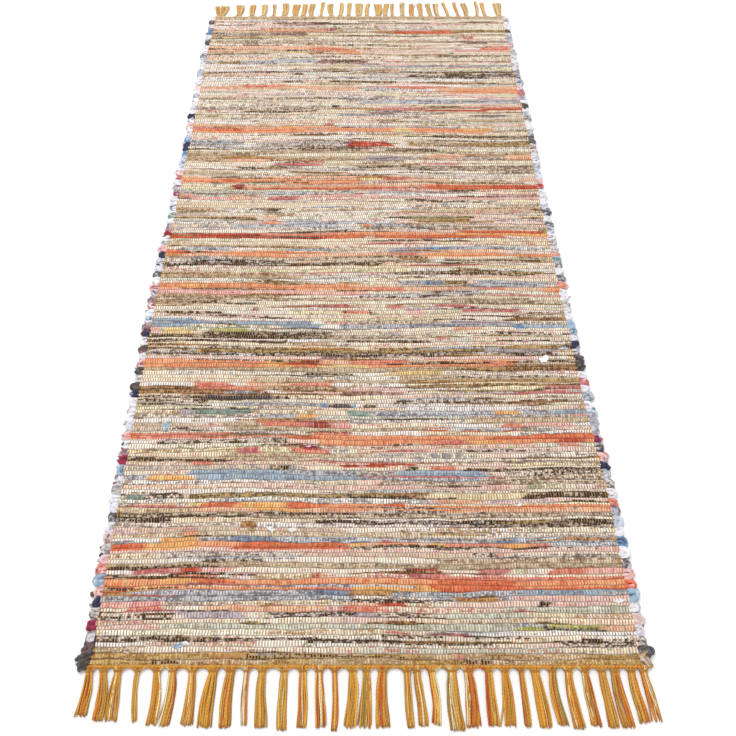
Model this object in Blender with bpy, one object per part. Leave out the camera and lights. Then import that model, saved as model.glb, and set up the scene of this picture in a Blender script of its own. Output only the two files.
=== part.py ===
"""Rag rug, flat on the floor: a plain-woven cloth of cotton rags, with a knotted tassel fringe at each end.

Metres, +Z up. The rug's length runs along Y and the wefts along X. The origin is the middle of its underside.
"""

import math
import random
from collections import namedtuple

import bmesh
import bpy

# The woven cloth
CLOTH_LENGTH = 1.400
WARP_WIDTH = 0.674  # between the two outermost warps
PICKS = 200  # rag wefts, one ridge each
PICK_PITCH = CLOTH_LENGTH / PICKS
CREST_HEIGHT = 0.0048  # top of a rag weft
CREST_SPREAD = 0.0004  # some rags are fatter than others
VALLEY_HEIGHT = 0.0034  # between two wefts
END_HEIGHT = 0.0032  # the cloth's cut-off ends, where the last weft is beaten in
INNER_COLUMNS = 4  # stretches that each ridge is drawn in, between the outermost warps
WANDER = 0.0013  # a weft runs this far off a straight line
WANDER_WAVE = 0.52
END_FADE = 0.030  # the wefts straighten over this length at each end

# The selvedges, where each rag turns round the outermost warp into the next row
LOOP_REACH = 0.0142  # past the outermost warp
LOOP_SPREAD = 0.0022
LOOP_SHOULDER = 0.88  # the reach of a loop at its two wefts, as a share of its own
NOTCH_REACH = 0.0085  # between two loops
LOOP_HEIGHT = 0.0032
NOTCH_HEIGHT = 0.0024
CORNER_TAIL_REACH = 0.0205  # the loose rag ends at the two near corners
CORNER_TAIL_LOOPS = 2
EDGE_STEP = 0.2  # between two of the places where the next lines say how far a selvedge lies out, near end first
LEFT_DRIFT = (0.0045, 0.0060, 0.0075, 0.0080, 0.0025, -0.0010, -0.0015, -0.0065)
RIGHT_DRIFT = (0.0040, 0.0065, 0.0010, 0.0000, -0.0005, 0.0030, 0.0010, 0.0025)

# The knotted edge cord, which backs the fringe
PIECE_GAP = 0.0003
NEAR_CORD_ENDS = (-0.3475, 0.3500)
FAR_CORD_ENDS = (-0.3370, 0.3450)
CORD_DEPTH = 0.0030
CORD_INNER_HEIGHT = 0.0028
CORD_HEIGHT = 0.0038
CORD_OUTER_HEIGHT = 0.0026
KNOT_DEPTH = 0.0072  # the cord and the knot at a tassel's root
KNOT_HALF_WIDTH = 0.0034
KNOT_BULGE = 0.0005
GATHER_HALF_WIDTH = 0.0078  # the warps that run into a knot, as a V
LEAST_CORD = 0.0012  # bare cord between two knots' gathers

# A tassel is a few flat locks of cut warp ends
LOCK_GAP_AT_ROOT = 0.00045
LOCK_GAP_AT_TIP = 0.0007
LOCK_HEIGHTS = (0.0022, 0.0019, 0.0015)  # along a lock, at its two bends and its tip
LOCK_BENDS = (0.22, 0.62)  # where the bends are, as shares of the tassel's length
LOCK_TOP_SHARE = 0.62  # a lock's rounded top is this share of its width
LOCK_UNEVEN = 0.0022  # the cut ends differ by up to this
THIN_SPREAD, WIDE_SPREAD, DOUBLE_SPREAD = 0.0075, 0.0145, 0.025
LOCKS_THIN, LOCKS_USUAL, LOCKS_WIDE, LOCKS_DOUBLE = 2, 3, 4, 6

RAG_COLOUR = (0.70, 0.60, 0.48, 1.0)
WARP_COLOUR = (0.72, 0.42, 0.12, 1.0)
COTTON_ROUGHNESS = 0.9

MM = 0.001
Tassel = namedtuple("Tassel", "across lean spread length")
# Millimetres: where the knot is across the rug, how far the tip leans to +X, the tip's width, the length.
NEAR_TASSELS = [
    Tassel(-340, -1.5, 13, 57), Tassel(-323, 1.5, 13, 62), Tassel(-305, 0, 14, 62),
    Tassel(-281, 5, 6, 63), Tassel(-257, 1, 12, 66), Tassel(-238, -3, 12, 68),
    Tassel(-214, -1, 11, 67), Tassel(-188, -4, 18, 69), Tassel(-167, -2, 15, 69),
    Tassel(-147, 1, 7, 66), Tassel(-128, 1.5, 12, 69), Tassel(-101, 0, 11, 72),
    Tassel(-78, 2, 12, 69), Tassel(-58, 3, 12, 69), Tassel(-39, 0, 7, 72),
    Tassel(-17, -3.5, 13, 69), Tassel(0, -2, 14, 69), Tassel(20, 0.5, 15, 69),
    Tassel(50, 2, 9, 69), Tassel(62, 5, 12, 67), Tassel(80, 3, 9, 66),
    Tassel(105, 2.5, 17, 72), Tassel(125, 0, 15, 69), Tassel(150, 0, 12, 67),
    Tassel(170, -1.5, 14, 68), Tassel(190, 1, 7, 68), Tassel(207, 4, 15, 69),
    Tassel(228, 3.5, 11, 67), Tassel(248, 3, 12, 70), Tassel(268, 4, 11, 68),
    Tassel(289, 4, 10, 69), Tassel(305, 5, 15, 69), Tassel(325, 5, 11, 64),
    Tassel(340, 5, 11, 63),
]
FAR_TASSELS = [
    Tassel(-320, 1, 32, 51), Tassel(-278, 0, 18, 56), Tassel(-246, 0, 13, 56),
    Tassel(-220, 1, 12, 58), Tassel(-196, 0.5, 5, 59), Tassel(-171, 2.5, 15, 63),
    Tassel(-145, 3, 16, 58), Tassel(-127, 4, 11, 60), Tassel(-107, 2.5, 12, 61),
    Tassel(-85, 6, 7, 68), Tassel(-60, -1.5, 13, 61), Tassel(-40, 4, 8, 65),
    Tassel(-20, 3.5, 8, 65), Tassel(3, 1.5, 17, 63), Tassel(23, 3.5, 9, 62),
    Tassel(49, 0, 17, 60), Tassel(66, 4, 11, 61), Tassel(82, 1.5, 7, 61),
    Tassel(106, 2.5, 9, 65), Tassel(129, 1.5, 11, 61), Tassel(149, 0, 10, 63),
    Tassel(172, -3.5, 12, 62), Tassel(188, 0.5, 9, 62), Tassel(213, -7, 7, 66),
    Tassel(237, -5, 6, 68), Tassel(256, -2.5, 14, 63), Tassel(281, 2, 6, 71),
    Tassel(300, -2.5, 7, 67), Tassel(333, 0, 18, 64),
]


def cotton(name, colour):
    material = bpy.data.materials.new(name)
    material.use_nodes = True
    shader = material.node_tree.nodes["Principled BSDF"]
    shader.inputs["Base Color"].default_value = colour
    shader.inputs["Roughness"].default_value = COTTON_ROUGHNESS
    shader.inputs["Metallic"].default_value = 0.0
    return material


def add_node(name, mesh, material):
    data = bpy.data.meshes.new(name)
    bmesh.ops.recalc_face_normals(mesh, faces=mesh.faces)
    mesh.to_mesh(data)
    mesh.free()
    data.materials.append(material)
    piece = bpy.data.objects.new(name, data)
    bpy.context.scene.collection.objects.link(piece)
    return piece


def end_fade(y):
    """0 at the cloth's ends, 1 further in than END_FADE."""
    return min(1.0, (CLOTH_LENGTH / 2 - abs(y)) / END_FADE)


def wander(x, y):
    """How far the weft that starts at y lies off its straight line at x."""
    slow = math.sin(math.tau * (x / WANDER_WAVE + 0.9 * y))
    fast = 0.45 * math.sin(math.tau * (2.3 * x / WANDER_WAVE - 1.7 * y) + 1.2)
    return WANDER * (slow + fast) * end_fade(y)


def edge_drift(side, y):
    """How far a selvedge lies outside a straight line at y."""
    drifts = RIGHT_DRIFT if side > 0 else LEFT_DRIFT
    place = (y + CLOTH_LENGTH / 2) / EDGE_STEP
    before = min(int(place), len(drifts) - 2)
    share = place - before
    share = share * share * (3 - 2 * share)
    return drifts[before] * (1 - share) + drifts[before + 1] * share


def selvedge(side, draw):
    """(reach past the outermost warp, height of the edge) for each line of the cloth, loop by loop.

    Lines 1, 3, 5 ... are the wefts' crests. A loop joins two wefts, and the two sides are one weft out of step.
    """
    lines = 2 * PICKS + 1
    rows = [(NOTCH_REACH, NOTCH_HEIGHT)] * lines
    first_notch = 0 if side < 0 else 2
    for loop, notch in enumerate(range(first_notch, lines - 1, 4)):
        reach = LOOP_REACH + draw.uniform(-LOOP_SPREAD, LOOP_SPREAD)
        if loop < CORNER_TAIL_LOOPS:
            reach = CORNER_TAIL_REACH - loop * LOOP_SPREAD
        for step, share in ((1, LOOP_SHOULDER), (2, 1.0), (3, LOOP_SHOULDER)):
            if notch + step < lines - 1:
                rows[notch + step] = (reach * share, LOOP_HEIGHT)
    return rows


def rag_cloth(material):
    """The woven cloth as one closed solid: a ridge for each rag weft on top, flat below, looped selvedges."""
    draw = random.Random(31)
    sides = {-1: selvedge(-1, draw), 1: selvedge(1, draw)}
    mesh = bmesh.new()
    rows, feet = [], []
    for line in range(2 * PICKS + 1):
        y = -CLOTH_LENGTH / 2 + line * PICK_PITCH / 2
        at_end = line in (0, 2 * PICKS)
        crest = line % 2 == 1
        height = CREST_HEIGHT + draw.uniform(-CREST_SPREAD, CREST_SPREAD) if crest else VALLEY_HEIGHT
        row, foot = [], []
        for column in range(INNER_COLUMNS + 1):
            share = 2 * column / INNER_COLUMNS - 1
            x = share * WARP_WIDTH / 2 + share * edge_drift(share, y)
            z = END_HEIGHT + 0.0002 * (1 - share * share) if at_end else height
            row.append(mesh.verts.new((x, y + wander(x, y), z)))
        for side in (-1, 1):
            reach, edge_height = sides[side][line]
            x = side * (WARP_WIDTH / 2 + edge_drift(side, y) + reach)
            spot = (x, y + wander(x, y))
            row.insert(0 if side < 0 else len(row), mesh.verts.new((*spot, edge_height)))
            foot.append(mesh.verts.new((*spot, 0.0)))
        rows.append(row)
        feet.append(foot)
    for near, far, near_foot, far_foot in zip(rows, rows[1:], feet, feet[1:]):
        for left in range(len(near) - 1):
            mesh.faces.new((near[left], near[left + 1], far[left + 1], far[left]))
        mesh.faces.new((near_foot[0], near[0], far[0], far_foot[0]))
        mesh.faces.new((near[-1], near_foot[1], far_foot[1], far[-1]))
        mesh.faces.new((near_foot[1], near_foot[0], far_foot[0], far_foot[1]))
    mesh.faces.new([*reversed(rows[0]), *feet[0]])
    mesh.faces.new([*rows[-1], *reversed(feet[-1])])
    return add_node("rag_cloth", mesh, material)


def lock_count(spread):
    if spread < THIN_SPREAD:
        return LOCKS_THIN
    if spread > DOUBLE_SPREAD:
        return LOCKS_DOUBLE
    return LOCKS_WIDE if spread > WIDE_SPREAD else LOCKS_USUAL


def knot_half_width(spread):
    return KNOT_HALF_WIDTH * lock_count(spread) / LOCKS_USUAL


def cord_stations(tassels, cord_ends):
    """(x, depth, tassel that starts here or None) along the edge cord: each knot's gather, knot and gather again."""
    stations = [(cord_ends[0], CORD_DEPTH, None)]
    for index, tassel in enumerate(tassels):
        x, half = tassel.across * MM, knot_half_width(tassel.spread * MM)
        before = tassels[index - 1].across * MM if index else 2 * cord_ends[0] - x
        after = tassels[index + 1].across * MM if index + 1 < len(tassels) else 2 * cord_ends[1] - x
        gather_in = min(GATHER_HALF_WIDTH, (x - before - LEAST_CORD) / 2)
        gather_out = min(GATHER_HALF_WIDTH, (after - x - LEAST_CORD) / 2)
        if gather_in > half:
            stations.append((x - gather_in, CORD_DEPTH, None))
        stations.append((x - half, KNOT_DEPTH, tassel))
        stations.append((x + half, KNOT_DEPTH, None))
        if gather_out > half:
            stations.append((x + gather_out, CORD_DEPTH, None))
    stations.append((cord_ends[1], CORD_DEPTH, None))
    return stations


def add_lock(mesh, root, tip_x, tip_width, length, end_share, outward):
    """A flat lock that grows out of the four root points, spreads towards its tip and rests level on the floor."""
    start_x = sum(v.co.x for v in root) / 4
    start_y = root[0].co.y
    root_width = abs(root[1].co.x - root[0].co.x)
    last = root
    for share, height in zip((*LOCK_BENDS, end_share), LOCK_HEIGHTS):
        spread = 0.45 * share + 0.55 * share * share * (3 - 2 * share)
        x = start_x + (tip_x - start_x) * spread
        half = (root_width + (tip_width - root_width) * spread) / 2
        y = start_y + outward * length * share
        corners = ((-half, 0.0), (half, 0.0), (half * LOCK_TOP_SHARE, height), (-half * LOCK_TOP_SHARE, height))
        ring = [mesh.verts.new((x + across, y, z)) for across, z in corners]
        for k in range(4):
            mesh.faces.new((last[k], last[(k + 1) % 4], ring[(k + 1) % 4], ring[k]))
        last = ring
    mesh.faces.new(last)


def add_tassel(mesh, tassel, left, right, outward, draw):
    """The knot's comb of lock roots, between two of the cord's stations. Returns its points, bottom and top."""
    spread, length = tassel.spread * MM, tassel.length * MM
    locks = lock_count(spread)
    width = right[0].co.x - left[0].co.x
    root = (width - (locks - 1) * LOCK_GAP_AT_ROOT) / locks
    bottoms, tops = [left[0]], [left[1]]
    for edge in range(1, 2 * locks - 1):
        along = (edge + 1) // 2 * root + edge // 2 * LOCK_GAP_AT_ROOT
        bulge = outward * KNOT_BULGE * math.sin(math.pi * along / width)
        place = (left[0].co.x + along, left[0].co.y + bulge)
        bottoms.append(mesh.verts.new((*place, 0.0)))
        tops.append(mesh.verts.new((*place, CORD_OUTER_HEIGHT)))
    bottoms.append(right[0])
    tops.append(right[1])
    tip_width = (spread - (locks - 1) * LOCK_GAP_AT_TIP) / locks
    for lock in range(locks):
        a, b = 2 * lock, 2 * lock + 1
        offset = (lock + 0.5) * (tip_width + LOCK_GAP_AT_TIP) - LOCK_GAP_AT_TIP / 2 - spread / 2
        corners = (bottoms[a], bottoms[b], tops[b], tops[a])
        free = length - KNOT_DEPTH
        end_share = 1 - draw.uniform(0, LOCK_UNEVEN) / free
        add_lock(mesh, corners, (tassel.across + tassel.lean) * MM + offset, tip_width, free, end_share, outward)
        if lock:
            mesh.faces.new((bottoms[a - 1], bottoms[a], tops[a], tops[a - 1]))
    return bottoms, tops


def fringe(name, tassels, cord_ends, outward, material, seed):
    """One end's knotted cord with its tassels, 0.3 mm off the cloth. outward is -1 at the near end, 1 at the far one."""
    draw = random.Random(seed)
    mesh = bmesh.new()
    inner_y = outward * (CLOTH_LENGTH / 2 + PIECE_GAP)
    rings, starts = [], []
    for x, depth, tassel in cord_stations(tassels, cord_ends):
        outer_y, ridge_y = inner_y + outward * depth, inner_y + outward * 0.5 * depth
        rings.append([
            mesh.verts.new((x, outer_y, 0.0)),
            mesh.verts.new((x, outer_y, CORD_OUTER_HEIGHT)),
            mesh.verts.new((x, ridge_y, CORD_HEIGHT)),
            mesh.verts.new((x, inner_y, CORD_INNER_HEIGHT)),
            mesh.verts.new((x, inner_y, 0.0)),
        ])
        starts.append(tassel)
    for left, right, tassel in zip(rings, rings[1:], starts):
        bottoms, tops = [left[0], right[0]], [left[1], right[1]]
        if tassel:
            bottoms, tops = add_tassel(mesh, tassel, left, right, outward, draw)
        else:
            mesh.faces.new((left[0], right[0], right[1], left[1]))
        mesh.faces.new((left[2], *tops, right[2]))
        mesh.faces.new((left[2], right[2], right[3], left[3]))
        mesh.faces.new((left[3], right[3], right[4], left[4]))
        mesh.faces.new((left[4], right[4], *reversed(bottoms)))
    mesh.faces.new(rings[0])
    mesh.faces.new(rings[-1])
    return add_node(name, mesh, material)


def main():
    for old in list(bpy.data.objects):
        bpy.data.objects.remove(old)
    rag = cotton("rag_cotton", RAG_COLOUR)
    warp = cotton("warp_yarn", WARP_COLOUR)
    rag_cloth(rag)
    fringe("fringe_near", NEAR_TASSELS, NEAR_CORD_ENDS, -1, warp, seed=7)
    fringe("fringe_far", FAR_TASSELS, FAR_CORD_ENDS, 1, warp, seed=8)


main()
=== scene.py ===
"""The looks of a flat rag rug: its woven cloth, selvedge loops, loose rag ends and two knotted fringes."""

import math
from collections import namedtuple

import bpy
import numpy as np
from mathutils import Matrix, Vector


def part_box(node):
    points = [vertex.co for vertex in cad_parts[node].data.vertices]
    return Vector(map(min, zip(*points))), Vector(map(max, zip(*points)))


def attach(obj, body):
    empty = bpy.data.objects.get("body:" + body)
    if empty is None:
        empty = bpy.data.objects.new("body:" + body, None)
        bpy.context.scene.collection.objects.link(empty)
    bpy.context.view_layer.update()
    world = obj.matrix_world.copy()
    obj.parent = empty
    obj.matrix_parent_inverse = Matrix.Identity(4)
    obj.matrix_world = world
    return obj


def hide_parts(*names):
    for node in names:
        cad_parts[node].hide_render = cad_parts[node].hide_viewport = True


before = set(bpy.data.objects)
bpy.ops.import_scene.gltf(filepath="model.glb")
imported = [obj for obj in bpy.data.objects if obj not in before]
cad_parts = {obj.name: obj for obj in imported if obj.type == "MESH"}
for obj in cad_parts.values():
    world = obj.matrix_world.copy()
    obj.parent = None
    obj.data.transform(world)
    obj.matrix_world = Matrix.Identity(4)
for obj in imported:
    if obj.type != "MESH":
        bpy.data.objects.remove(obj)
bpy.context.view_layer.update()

MM = 0.001

# ---------------------------------------------------------------------------------------------------------
# The woven cloth. A plain weave: 360 ends of thin cotton yarn run the rug's length, and 200 torn strips of
# cotton rag run across it, beaten in so hard that each rag bulges between the ends as a row of small cells.
# The rags are joined end to end as they come, so their colours change anywhere along a row.

CLOTH_LOW, CLOTH_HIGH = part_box("rag_cloth")
CLOTH_LENGTH = CLOTH_HIGH.y - CLOTH_LOW.y
PICKS = 200  # rags across, counted from the near end
PICK_PITCH = CLOTH_LENGTH / PICKS
WARPS = 360
WARP_WIDTH = 0.674  # between the two outermost ends
WARP_PITCH = WARP_WIDTH / (WARPS - 1)
MIDDLE_END = (WARPS - 1) / 2
EDGE_ENDS = 4  # thicker, golden ends at each selvedge
BORDER = 0.0026  # of the outermost rag, past the outermost end

# The slow waves of the solid's ridges, in metres, and how many mm its selvedges lie outside a straight line
# at every 200 mm
WANDER, WANDER_WAVE, END_FADE = 0.0013, 0.52, 0.030
SLOW_SLANT = 0.9
FAST_SHARE, FAST_WAVES, FAST_SLANT, FAST_START = 0.45, 2.3, 1.7, 1.2
EDGE_STEP = 0.2
LEFT_DRIFT = (4.5, 6.0, 7.5, 8.0, 2.5, -1.0, -1.5, -6.5)
RIGHT_DRIFT = (4.0, 6.5, 1.0, 0.0, -0.5, 3.0, 1.0, 2.5)

Line = namedtuple("Line", "share height groove")
# Across one rag: where the line is, its height in mm, and the share of END_SINKS that an end presses it down
TOP_LINES = [Line(0.0, 2.9, 0.1), Line(0.22, 4.4, 0.7), Line(0.5, 5.0, 1.0), Line(0.78, 4.4, 0.7)]
UNDER_LINES = [Line(0.0, 1.0, 0.0), Line(0.5, 0.0, 0.0)]
STEPS = len(TOP_LINES)
HEADING = 2  # rows at the near end, where the ends look the most golden
ROW_UNEVEN, MOST_UNEVEN = 2.0, 2.3  # mm that a rag's edge strays from its line
ROW_SWINGS = ((0.8, 58), (0.5, 19), (0.3, 7))  # the share of each swing of that edge, and the ends it spans
END_SWAY, SWAY_SPAN = 0.75, 26  # mm that an end sways between one rag and the next, and ends that go together
END_SINKS = 1.05  # mm that an end is drawn into the rag that it crosses
FAT_RAGS, FAT_SPAN = 0.45, 48  # mm that thick rags stand proud, and the ends that a thick place spans
SQUEEZE = (0.55, 1.2)  # the least and most that a rag's height changes with the room between its neighbours
EDGE_HEIGHT, NEXT_HEIGHT = 1.7, 0.85  # mm at the outermost edge, and the share of a rag's height next to it
NEXT_OUT = 0.6  # the share of BORDER that the column of points next to the edge lies out

Rag = namedtuple("Rag", "dye ink inked")
# A rag's dye, its print or the back of its cloth, and the share of it that shows the second.
RAGS = {
    "white": Rag((250, 248, 245), (228, 226, 232), 0.15),
    "ivory": Rag((249, 239, 226), (234, 212, 198), 0.18),
    "cream": Rag((243, 229, 208), (223, 198, 175), 0.22),
    "butter": Rag((246, 233, 198), (228, 208, 166), 0.22),
    "beige": Rag((252, 243, 224), (224, 200, 180), 0.28),
    "blush": Rag((244, 214, 207), (228, 179, 173), 0.32),
    "pink": Rag((244, 193, 188), (226, 150, 153), 0.32),
    "rose": Rag((211, 129, 133), (176, 84, 96), 0.35),
    "coral": Rag((234, 152, 133), (210, 104, 91), 0.34),
    "red": Rag((202, 65, 50), (154, 36, 31), 0.32),
    "crimson": Rag((171, 43, 53), (109, 23, 36), 0.35),
    "magenta": Rag((164, 53, 83), (116, 27, 56), 0.30),
    "peach": Rag((244, 200, 173), (232, 161, 130), 0.32),
    "amber": Rag((252, 192, 128), (238, 161, 91), 0.32),
    "orange": Rag((247, 170, 131), (234, 132, 91), 0.34),
    "tangerine": Rag((232, 118, 83), (204, 77, 50), 0.34),
    "lemon": Rag((243, 219, 165), (221, 189, 119), 0.30),
    "lime": Rag((204, 208, 128), (150, 158, 86), 0.35),
    "straw": Rag((212, 196, 171), (157, 135, 108), 0.36),
    "khaki": Rag((200, 172, 122), (132, 100, 58), 0.42),
    "ochre": Rag((198, 150, 96), (140, 92, 48), 0.38),
    "olive": Rag((187, 162, 114), (85, 68, 44), 0.50),
    "moss": Rag((157, 167, 129), (52, 54, 47), 0.45),
    "tan": Rag((207, 181, 152), (127, 95, 69), 0.42),
    "brown": Rag((184, 140, 99), (86, 59, 39), 0.48),
    "umber": Rag((195, 178, 159), (45, 36, 34), 0.70),
    "taupe": Rag((218, 203, 186), (118, 102, 90), 0.42),
    "grey": Rag((214, 208, 205), (114, 107, 110), 0.40),
    "slate": Rag((200, 209, 220), (112, 126, 144), 0.36),
    "sky": Rag((159, 188, 210), (118, 148, 178), 0.32),
    "denim": Rag((118, 154, 190), (77, 103, 141), 0.32),
    "navy": Rag((57, 61, 90), (30, 30, 49), 0.42),
    "mint": Rag((218, 224, 211), (174, 183, 166), 0.36),
    "teal": Rag((132, 170, 164), (88, 126, 124), 0.32),
    "lavender": Rag((188, 184, 197), (139, 133, 156), 0.36),
    "mauve": Rag((193, 162, 160), (118, 84, 91), 0.48),
    "speckle": Rag((222, 210, 200), (46, 40, 42), 0.50),
    "charcoal": Rag((208, 202, 204), (30, 26, 31), 0.71),
    "pearl": Rag((242, 240, 246), (204, 204, 220), 0.34),
    "soot": Rag((104, 95, 88), (52, 46, 44), 0.50),
}
# The pale rags that fill every row and how often each comes, and the inks of their small faded prints
GROUND = {"white": 0.14, "ivory": 0.25, "cream": 0.26, "butter": 0.07, "blush": 0.13, "beige": 0.09,
          "mint": 0.02, "straw": 0.02, "taupe": 0.02}
PRINTS = ((210, 144, 140), (146, 134, 136), (158, 168, 140), (166, 156, 178), (190, 156, 120),
          (170, 144, 116), (226, 182, 154), (146, 156, 166), (218, 160, 156), (188, 192, 164))

Run = namedtuple("Run", "row rows left right rag")
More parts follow.
